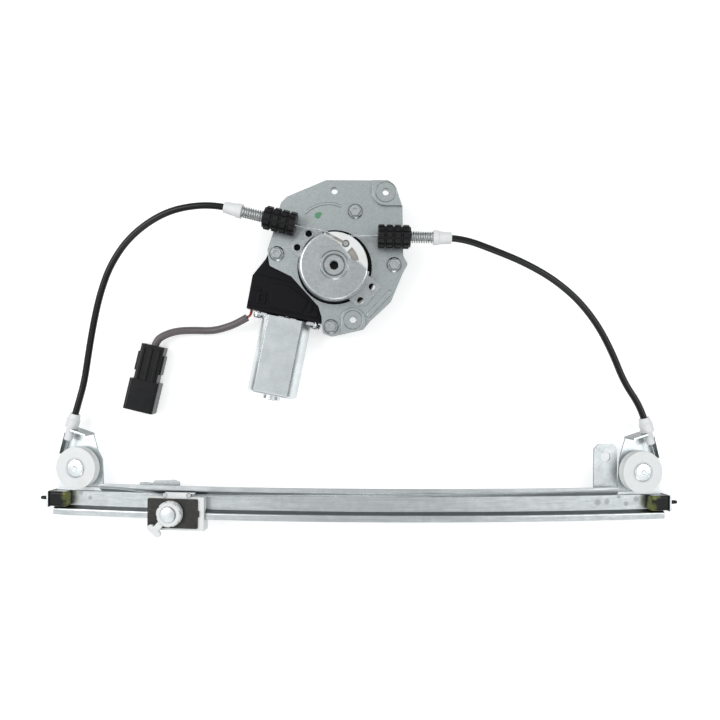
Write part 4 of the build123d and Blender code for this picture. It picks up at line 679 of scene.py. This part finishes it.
# grey ring at the floor of the slot in the drum's face, so that the slot looks grey
DRUM_TOP = 45.0
pale_grey = moulded("drum_slot_grey", (0.36, 0.34, 0.31, 1), 0.5, 0.05, 200.0)
lathe(
    "drum_slot_grey",
    (hub.x, hub.y, DRUM_TOP * MM),
    (0, 0, 1),
    [(14.2, -3.4), (14.2, -1.6), (22.4, -1.6), (22.4, -3.4), (14.2, -3.4)],
    pale_grey,
    "drum",
    None,
)
softened("knob_body", "lock_knob", "knob", 0.3, nylon)
softened("shoe_body", "slider_shoe", "slider", 0.3, nylon)

# Rivet head in the knob's middle: a bright, slightly domed steel disc that sits on the knob and
# turns with it.
turn = joints["knob_turn"]
lathe(
    "knob_rivet_head",
    Vector(turn["pos_m"]),
    turn["axis"],
    [(6.2, 4.9), (6.2, 6.9), (5.9, 7.3), (4.0, 7.6), (0, 7.7)],
    rivet_zinc,
    "knob",
    None,
)

# Carrier plate: stamped from steel sheet with a dark phosphate coat. It lies on the shoe, under
# the knob.
carrier_dark = zinc(
    "carrier_dark", 0.068, 0.045, 0.42, 70.0, scratch=0.25, bump=0.2, tint=(1.03, 1.0, 0.96), edge=0.3
)
softened("carrier_pressing", "carrier_plate", "slider", 0.3, carrier_dark)

# Bumpers and tensioner sleeves: black rubber, dull, with mould bloom. The bumpers carry smears
# of the rail's yellow-green grease.
rubber = moulded("black_rubber", (0.010, 0.010, 0.011, 1), 0.44, 0.08, 120.0, bump=0.3, mirror=0.25)
greasy_rubber = moulded("greasy_rubber", (0.006, 0.007, 0.006, 1), 0.28, 0.08, 150.0, bump=0.4, mirror=0.3)
print_marks(
    greasy_rubber,
    [
        (-242.6, -115.0, 12.0, 4.4),
        (-242.4, -120.6, 12.0, 3.6),
        (-243.0, -111.6, 15.5, 2.6),
        (-245.6, -122.0, 17.5, 1.7),
        (242.6, -120.2, 12.0, 4.6),
        (242.6, -114.4, 12.0, 3.0),
        (244.6, -110.9, 16.6, 3.2),
        (248.4, -109.9, 15.4, 2.4),
        (246.8, -119.4, 18.3, 1.5),
    ],
    (0.19, 0.21, 0.05, 1),
    0.30,
    0.8,
)
for hand in ("left", "right"):
    softened(f"{hand}_bumper_block", f"{hand}_bumper", "root", 0.3, greasy_rubber)
    softened(f"{hand}_waffle_sleeve", f"{hand}_tensioner_sleeve", "root", 0.3, rubber)

# Motor plate and drum cover: pressed from zinc-plated sheet, the cover with a brighter satin skin.
# Two pads on the plate reach out to its edge, and two beads stiffen it.
def arc(centre, radius, start, end, steps=14):
    """Points along an arc from one angle to another, in degrees."""
    turns = [radians(start + (end - start) * i / steps) for i in range(steps + 1)]
    return [(centre[0] + radius * cos(a), centre[1] + radius * sin(a)) for a in turns]


def raised(name, outlines, low, high, material, node, edge=0.25):
    """A flat form with rounded edges between two heights, from its outline and the holes in it."""
    data = bpy.data.curves.new(name, "CURVE")
    data.dimensions = "2D"
    data.fill_mode = "BOTH"
    for outline in outlines:
        spline = data.splines.new("POLY")
        spline.points.add(len(outline) - 1)
        for point, (x, y) in zip(spline.points, outline):
            point.co = (x * MM, y * MM, 0, 1)
        spline.use_cyclic_u = True
    data.extrude = ((high - low) / 2 - edge) * MM
    data.bevel_depth = edge * MM
    data.bevel_resolution = 2
    data.offset = -edge * MM
    piece = bpy.data.objects.new(name, data)
    bpy.context.scene.collection.objects.link(piece)
    piece.location = (0, 0, (low + high) / 2 * MM)
    activate(piece)
    bpy.ops.object.convert(target="MESH")
    piece = bpy.context.active_object
    bpy.ops.object.mode_set(mode="EDIT")
    bpy.ops.mesh.select_all(action="SELECT")
    bpy.ops.mesh.remove_doubles(threshold=0.000005)
    bpy.ops.mesh.normals_make_consistent(inside=False)
    bpy.ops.object.mode_set(mode="OBJECT")
    return finish_mesh(piece, material, "root", node)


plate_zinc = zinc(
    "plate_zinc", 0.56, 0.43, 0.36, 190.0, scratch=0.22, bump=0.25, tint=(0.93, 1.0, 1.0), edge=0.3
)
# green inspection paint, dabbed by hand
print_marks(
    plate_zinc,
    [(-35.0, 116.3, PLATE_FRONT, 2.6), (-33.2, 117.6, PLATE_FRONT, 1.6)],
    (0.10, 0.33, 0.17, 1),
    0.1,
    0.85,
)
cover_zinc = zinc("cover_zinc", 0.64, 0.54, 0.28, 60.0, scratch=0.3, bump=0.2, edge=0.3)
softened("plate_pressing", "motor_plate", "root", 0.25, plate_zinc)
softened("cover_pressing", "drum_cover", "root", 0.25, cover_zinc)

# pads and beads, placed from the drum's axis in millimetres
HUB = (-21.0, 74.65)
PAD_RISE = 3.0
corner = (HUB[0] + 40.7, HUB[1] + 60.6)
lower = (HUB[0] + 15.0, HUB[1] - 42.4)
corner_outline = arc(corner, 10.9, 180, 270) + [
    (HUB[0] + 53.9, HUB[1] + 49.7),
    (HUB[0] + 50.3, HUB[1] + 60.8),
    (HUB[0] + 48.6, HUB[1] + 65.0),
    (HUB[0] + 46.4, HUB[1] + 67.6),
    (HUB[0] + 42.2, HUB[1] + 70.1),
    (HUB[0] + 29.8, HUB[1] + 70.1),
]
lower_outline = arc(lower, 9.7, 180, 0) + [
    (HUB[0] + 24.7, HUB[1] - 48.3),
    (HUB[0] + 22.2, HUB[1] - 50.1),
    (HUB[0] + 5.3, HUB[1] - 54.1),
]
for name, centre, outline, gap in (
    ("corner_pad", corner, corner_outline, 8.15),
    ("lower_pad", lower, lower_outline, 7.55),
):
    raised(
        name,
        [outline, arc(centre, gap, 0, 345, 23)],
        PLATE_FRONT - 0.1,
        PLATE_FRONT + PAD_RISE,
        plate_zinc,
        "motor_plate",
        0.5,
    )
bead_centre = (HUB[0] - 5.5, HUB[1] + 26.2)
raised(
    "arc_bead",
    [arc(bead_centre, 26.3, 66, 137, 24) + arc(bead_centre, 24.1, 137, 66, 24)],
    PLATE_FRONT - 1.2,
    PLATE_FRONT + 0.9,
    plate_zinc,
    "motor_plate",
    0.7,
)
BEAD_SLANT = 47.1
BEAD_HALF_LENGTH = 12.5
BEAD_END = 1.95
ends = []
for sign in (1, -1):
    middle = (
        HUB[0] + 36.3 + sign * BEAD_HALF_LENGTH * cos(radians(BEAD_SLANT)),
        HUB[1] - 29.2 + sign * BEAD_HALF_LENGTH * sin(radians(BEAD_SLANT)),
    )
    start = BEAD_SLANT - 90 * sign
    ends += arc(middle, BEAD_END, start, start + 180)
raised(
    "straight_bead",
    [ends],
    PLATE_FRONT - 1.2,
    PLATE_FRONT + 1.0,
    plate_zinc,
    "motor_plate",
    0.7,
)

# Gear housing, its cover and the brush holder: moulded in glass-filled black nylon with a fine
# matt skin. The housing's top steps up over the worm and the brushes.
housing_black = moulded("housing_black", (0.007, 0.007, 0.009, 1), 0.32, 0.06, 140.0, bump=0.3, mirror=0.15)
softened("housing_shell", "gear_housing", "root", 0.4, housing_black)
softened("housing_back_cover", "gear_housing_cover", "root", 0.4, housing_black)
dress(housing_black, "brush_holder", "housing_seal")
HOUSING_STEP = 26.88
WORM_OFFSET = 31.0
tilt = radians(11.0)
foot = (HUB[0] - WORM_OFFSET * cos(tilt), HUB[1] + WORM_OFFSET * sin(tilt))


def on_housing(points):
    """Points of the part from the housing's own: x towards the hub and y up along the worm."""
    return [
        (foot[0] + x * cos(tilt) + y * sin(tilt), foot[1] - x * sin(tilt) + y * cos(tilt))
        for x, y in points
    ]


# raised part over the worm, panel and rib over the brushes, clip, boss and the motor's rim
for name, outlines, rise in (
    ("worm_cover", [[(6, 25), (-9.2, 25.4), (-18.6, 17.2), (-24, -4), (-30.3, -17), (9, -19)]], 1.5),
    ("brush_panel", [[(-17.5, -22.5), (-3.3, -21.5), (15.5, -30.4), (11.6, -41.8), (-14.5, -41.5)]], 1.1),
    ("panel_rib", [[(15.8, -39.4), (19.2, -39.4), (19.2, -32.8), (15.8, -32.8)]], 1.3),
    (
        "clip",
        [
            [(-26.1, -40.1), (-19.1, -40.1), (-19.1, -31.3), (-26.1, -31.3)],
            [(-24.1, -38.5), (-19.9, -38.5), (-19.9, -32.9), (-24.1, -32.9)],
        ],
        1.6,
    ),
    ("clip_arm", [[(-30.6, -30.2), (-24.4, -30.2), (-24.4, -28.2), (-30.6, -28.2)]], 1.2),
    ("motor_rim", [[(-32.6, -46.2), (27.8, -46.2), (27.8, -43.6), (-32.6, -43.6)]], 1.5),
    ("boss", [arc((22.4, -40.2), 3.0, 0, 345, 23)], 1.7),
):
    raised(
        name,
        [on_housing(outline) for outline in outlines],
        HOUSING_STEP - 0.9,
        HOUSING_STEP + rise,
        housing_black,
        "gear_housing",
        0.35,
    )

# Motor can: drawn from steel sheet with flat sides and a bright zinc skin. Two screws hold its
# flange to the gear housing.
can_zinc = zinc("can_zinc", 0.90, 0.80, 0.26, 45.0, scratch=0.25, bump=0.2, edge=0.3)
softened("can_shell", "motor_can", "root", 0.4, can_zinc)

# Output shaft: ground steel, with the drum on its end. The faces inside its deep socket are coloured black.
socket_black = moulded("socket_black", (0.006, 0.006, 0.006, 1), 0.5, 0.05, 200.0)
shaft = softened("output_shaft_pin", "output_shaft", "drum", 0.12, bright_zinc)
shaft.data.materials.append(socket_black)
SOCKET_REACH = 4.4
SOCKET_FLOOR = 13.0
SOCKET_RIM = 43.7
# faces inside the deep socket get the black material
for face in shaft.data.polygons:
    out = (face.center - hub).xy.length
    if out < SOCKET_REACH * MM and SOCKET_FLOOR * MM < face.center.z < SOCKET_RIM * MM:
        face.material_index = 1

# Inside the motor: laminated core, copper windings, commutator, magnets, brushes and bushes. The
# solids only get their finishes here, and so do the plug's blades.
core_steel = zinc("core_steel", 0.40, 0.28, 0.34, 300.0, scratch=0.1, tint=(1.0, 1.0, 1.0))
copper = zinc("winding_copper", 0.78, 0.56, 0.30, 500.0, scratch=0.1, tint=(1.0, 0.52, 0.34))
bronze = zinc("bush_bronze", 0.62, 0.46, 0.36, 400.0, scratch=0.2, tint=(1.0, 0.76, 0.42))
ferrite = moulded("magnet_ferrite", (0.075, 0.075, 0.08, 1), 0.6, 0.06, 220.0, bump=0.4)
carbon = moulded("brush_carbon", (0.05, 0.05, 0.05, 1), 0.55, 0.06, 400.0, bump=0.3)
dress(core_steel, "armature_shaft", "armature_core")
dress(copper, "armature_windings", "commutator")
dress(bronze, "shaft_bushes", "plug_terminals")
dress(ferrite, "motor_magnets")
dress(carbon, "carbon_brushes")

# Tensioner springs: round bright wire in nine turns. One end sits on the rubber sleeve and the
# other pushes the sliding ferrule outwards.
SPRING_LENGTH = 18.0
WIRE_RADIUS = 0.55
COIL_RADIUS = 4.2
COIL_TURNS = 9
for hand in ("left", "right"):
    axis = Vector(joints[f"{hand}_adjuster_slide"]["axis"]).normalized()
    low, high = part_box(f"{hand}_tensioner_spring")
    middle = (low + high) / 2
    length = SPRING_LENGTH - 2 * WIRE_RADIUS - 0.1
    pitch = length / COIL_TURNS
    bpy.ops.object.select_all(action="DESELECT")
    bpy.ops.mesh.primitive_circle_add(
        vertices=10,
        radius=WIRE_RADIUS * MM,
        location=(COIL_RADIUS * MM, 0, -length / 2 * MM),
        rotation=(pi / 2, 0, 0),
    )
    spring = bpy.context.active_object
    spring.name = f"{hand}_spring_coil"
    bpy.ops.object.transform_apply(location=True, rotation=True)
    coil = spring.modifiers.new("coil", "SCREW")
    coil.screw_offset = pitch * MM
    coil.iterations = COIL_TURNS
    coil.steps = coil.render_steps = 26
    bpy.ops.object.modifier_apply(modifier=coil.name)
    bpy.ops.object.mode_set(mode="EDIT")
    bpy.ops.mesh.select_all(action="DESELECT")
    bpy.ops.mesh.select_non_manifold()
    bpy.ops.mesh.fill_holes(sides=12)
    bpy.ops.mesh.select_all(action="SELECT")
    bpy.ops.mesh.normals_make_consistent(inside=False)
    bpy.ops.object.mode_set(mode="OBJECT")
    spring.rotation_euler = axis.to_track_quat("Z", "Y").to_euler()
    spring.location = middle
    bpy.ops.object.transform_apply(location=True, rotation=True)
    bpy.ops.object.shade_smooth_by_angle(angle=radians(50))
    spring.data.materials.append(bright_zinc)
    reach = axis * (length / 2 * MM)
    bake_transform(spring, f"{hand}_adjuster", "root", start=middle + reach, end=middle - reach)
    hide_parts(f"{hand}_tensioner_spring")


# Cables: strands of galvanised wire laid in a helix. The drum's cables run to the tensioners, and
# the rail's cables go round the pulleys and along the rail to the slider.
STRANDS = 6
STRAND_RADIUS = 0.25
STRAND_CIRCLE = 0.5
LAY_LENGTH = 9.0


def nurbs(name, points):
    """A smooth open line drawn by its control points, which are in millimetres."""
    data = bpy.data.curves.new(name, "CURVE")
    data.dimensions = "3D"
    spline = data.splines.new("NURBS")
    spline.points.add(len(points) - 1)
    for point, place in zip(spline.points, points):
        point.co = (*(Vector(place) * MM), 1.0)
    spline.order_u = 3
    spline.use_endpoint_u = True
    line = bpy.data.objects.new(name, data)
    bpy.context.scene.collection.objects.link(line)
    return line


def rope(name, node, points, body="root"):
    """A cable of six strands laid round each other, along the smooth line through its control points."""
    line = nurbs(f"{name}_line", points)
    line.data.resolution_u = 32
    traced = bpy.data.meshes.new_from_object(line)
    places = [Vector(v.co) for v in traced.vertices]
    length = sum((b - a).length for a, b in zip(places, places[1:]))
    turns = max(2, round(length / (LAY_LENGTH * MM)))
    strands = []
    for step in range(STRANDS):
        turn = step * 2 * pi / STRANDS
        bpy.ops.object.select_all(action="DESELECT")
        bpy.ops.mesh.primitive_circle_add(
            vertices=7,
            radius=STRAND_RADIUS * MM,
            location=(STRAND_CIRCLE * MM * cos(turn), STRAND_CIRCLE * MM * sin(turn), 0),
            rotation=(pi / 2, 0, turn),
        )
        bpy.ops.object.transform_apply(location=True, rotation=True)
        strands.append(bpy.context.active_object)
    for strand in strands:
        strand.select_set(True)
    bpy.ops.object.join()
    cable = bpy.context.active_object
    cable.name = name
    lay = cable.modifiers.new("lay", "SCREW")
    lay.screw_offset = length / turns
    lay.iterations = turns
    lay.steps = lay.render_steps = 12
    bend = cable.modifiers.new("bend", "CURVE")
    bend.object = line
    bend.deform_axis = "POS_Z"
    for modifier in (lay, bend):
        bpy.ops.object.modifier_apply(modifier=modifier.name)
    bpy.ops.object.mode_set(mode="EDIT")
    bpy.ops.mesh.select_all(action="DESELECT")
    bpy.ops.mesh.select_non_manifold()
    bpy.ops.mesh.fill_holes(sides=8)
    bpy.ops.mesh.select_all(action="SELECT")
    bpy.ops.mesh.normals_make_consistent(inside=False)
    bpy.ops.object.mode_set(mode="OBJECT")
    bpy.ops.object.shade_smooth_by_angle(angle=radians(70))
    bpy.data.meshes.remove(traced)
    bpy.data.objects.remove(line)
    cable.data.materials.append(cable_steel)
    if body:
        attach(cable, body)
    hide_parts(node)
    return cable


cable_steel = zinc("cable_steel", 0.88, 0.70, 0.30, 420.0, scratch=0.1, bump=0.1, edge=0.2)
rope(
    "left_drum_rope",
    "left_drum_cable",
    [(-15.33, 98.28, 42.4), (-36.0, 103.24, 41.75), (-56.65, 108.2, 41.1)],
)
rope(
    "right_drum_rope",
    "right_drum_cable",
    [(-20.58, 98.95, 39.8), (-1.1, 98.61, 40.45), (18.42, 98.27, 41.1)],
)

# the rail's cables: the wrap stays on the pulley, and the run along the rail stretches evenly
# between the pulley and the slider, wherever the slider stands
GROOVE = 15.5
WRAP_START = radians(17)
WRAP_TURN = radians(107) / 4
for hand, run in (
    ("left", [(-215.66, -106.6, 16.18), (-187.83, -107.4, 20.21), (-159.99, -111.3, 23.68)]),
    (
        "right",
        [
            (215.66, -106.6, 16.18),
            (127.71, -107.78, 26.99),
            (39.75, -108.95, 32.24),
            (-48.21, -110.12, 31.97),
            (-92.19, -110.71, 29.78),
            (-136.17, -111.3, 26.2),
        ],
    ),
):
    side = -1 if hand == "left" else 1
    wheel = joints[f"{hand}_pulley_spin"]
    centre = Vector(wheel["pos_m"]) / MM
    normal = Vector(wheel["axis"]).normalized()
    outward = Vector((normal.z, 0, -normal.x)) * side
    upward = Vector((0, 1, 0))
    corner = GROOVE / cos(WRAP_TURN)
    corners = []
    for angle in (WRAP_START - WRAP_TURN, WRAP_START - 3 * WRAP_TURN):
        corners.append(centre + (outward * cos(angle) + upward * sin(angle)) * corner)
    seat = Vector((side * 237.41, -50.31, 12.64))
    tangent = 2 * GROOVE * sin(WRAP_TURN) / cos(WRAP_TURN)
    leave = corners[0] + (seat - corners[0]).normalized() * tangent
    meet = corners[1] - outward * tangent
    cable = rope(f"{hand}_rail_rope", f"{hand}_rail_cable", [seat, leave, *corners, meet, *run], None)
    start = centre - upward * GROOVE
    end = Vector(run[-1])
    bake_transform(cable, "root", "slider", start=start * MM, end=end * MM)
    weights = cable.data.attributes["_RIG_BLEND"]
    for vertex, weight in zip(cable.data.vertices, weights.data):
        along = (vertex.co.x / MM - start.x) / (end.x - start.x)
        on_run = vertex.co.y < (centre.y - 0.8 * GROOVE) * MM
        weight.value = min(1.0, max(0.0, along)) if on_run else 0.0

# Cable sheaths: glossy black conduit between the ferrules. Its upper end moves with the
# tensioner's ferrule, and the stretch just behind that takes the movement up.
SHEATH_RADIUS = 2.75
sheath_black = moulded("sheath_black", (0.004, 0.004, 0.005, 1), 0.20, 0.04, 60.0, bump=0.05, mirror=0.35)
for hand, route in (
    (
        "left",
        [
            (-104.79, 119.76, 41.1),
            (-117.43, 122.79, 41.1),
            (-144.5, 120.6, 38.8),
            (-166.0, 112.4, 36.1),
            (-187.5, 96.8, 32.0),
            (-203.0, 76.2, 27.6),
            (-212.6, 54.0, 23.2),
            (-219.6, 28.6, 19.0),
            (-225.0, 2.0, 15.4),
            (-228.8, -20.0, 13.4),
            (-233.64, -37.78, 13.27),
            (-237.38, -50.21, 12.64),
        ],
    ),
    (
        "right",
        [
            (67.91, 97.4, 41.1),
            (80.91, 97.17, 41.1),
            (107.0, 88.0, 39.4),
            (131.0, 79.0, 36.2),
            (155.0, 66.8, 31.8),
            (176.5, 50.8, 26.8),
            (194.5, 30.4, 22.0),
            (208.4, 6.8, 17.6),
            (219.0, -17.0, 14.4),
            (233.64, -37.78, 13.27),
            (237.38, -50.21, 12.64),
        ],
    ),
):
    sheath = nurbs(f"{hand}_conduit", route)
    sheath.data.bevel_depth = SHEATH_RADIUS * MM
    sheath.data.bevel_resolution = 5
    sheath.data.resolution_u = 14
    sheath.data.use_fill_caps = True
    activate(sheath)
    bpy.ops.object.convert(target="MESH")
    sheath = bpy.context.active_object
    bpy.ops.object.shade_smooth_by_angle(angle=radians(50))
    sheath.data.materials.append(sheath_black)
    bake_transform(sheath, f"{hand}_adjuster", "root", start=Vector(route[0]) * MM, end=Vector(route[3]) * MM)
    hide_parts(f"{hand}_cable_sheath")

# Motor lead: two wires leave the motor, enter a grey flexible sleeve and run down in it to the
# plug.
SLEEVE_RADIUS = 3.15
LEAD_WIRE_RADIUS = 0.9
LEAD_ROUTE = [
    (-93.9, 34.6, 14.0),
    (-101.8, 30.0, 13.0),
    (-112.0, 26.2, 10.6),
    (-124.0, 23.4, 8.2),
    (-139.6, 23.9, 7.4),
    (-153.0, 23.3, 7.8),
    (-163.2, 20.0, 8.4),
    (-170.4, 15.3, 8.52),
    (-172.2, 8.2, 8.52),
]
sleeve = nurbs("lead_sleeving", LEAD_ROUTE)
sleeve.data.bevel_depth = SLEEVE_RADIUS * MM
sleeve.data.bevel_resolution = 5
sleeve.data.resolution_u = 16
sleeve.data.use_fill_caps = True
sleeve_grey = moulded("sleeve_grey", (0.125, 0.108, 0.11, 1), 0.34, 0.1, 200.0, bump=0.2)
sleeve.data.materials.append(sleeve_grey)
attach(sleeve, "root")
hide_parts("lead_sleeve")
for name, route, colour in (
    (
        "red_wire",
        [(-88.69, 47.16, 16.8), (-90.31, 38.82, 16.68), (-91.11, 36.23, 15.31), (-93.69, 34.73, 14.99)],
        (0.32, 0.014, 0.012, 1),
    ),
    (
        "pale_wire",
        [(-88.69, 47.16, 14.0), (-90.31, 38.82, 14.16), (-91.11, 36.23, 13.07), (-93.69, 34.73, 12.75)],
        (0.62, 0.50, 0.47, 1),
    ),
):
    wire = nurbs(name, route)
    wire.data.bevel_depth = LEAD_WIRE_RADIUS * MM
    wire.data.bevel_resolution = 4
    wire.data.resolution_u = 12
    wire.data.use_fill_caps = True
    wire.data.materials.append(moulded(name, colour, 0.34, 0.08, 300.0))
    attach(wire, "root")
    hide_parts("lead_wires")

# Plug: glossy black shell with latch barbs and an open mouth, moulded in one piece. It hangs on
# the lead.
plug_black = moulded("plug_black", (0.005, 0.005, 0.006, 1), 0.24, 0.05, 120.0, bump=0.08, mirror=0.3)
plug = softened("plug_shell", "plug_housing", "root", 0.4, plug_black)
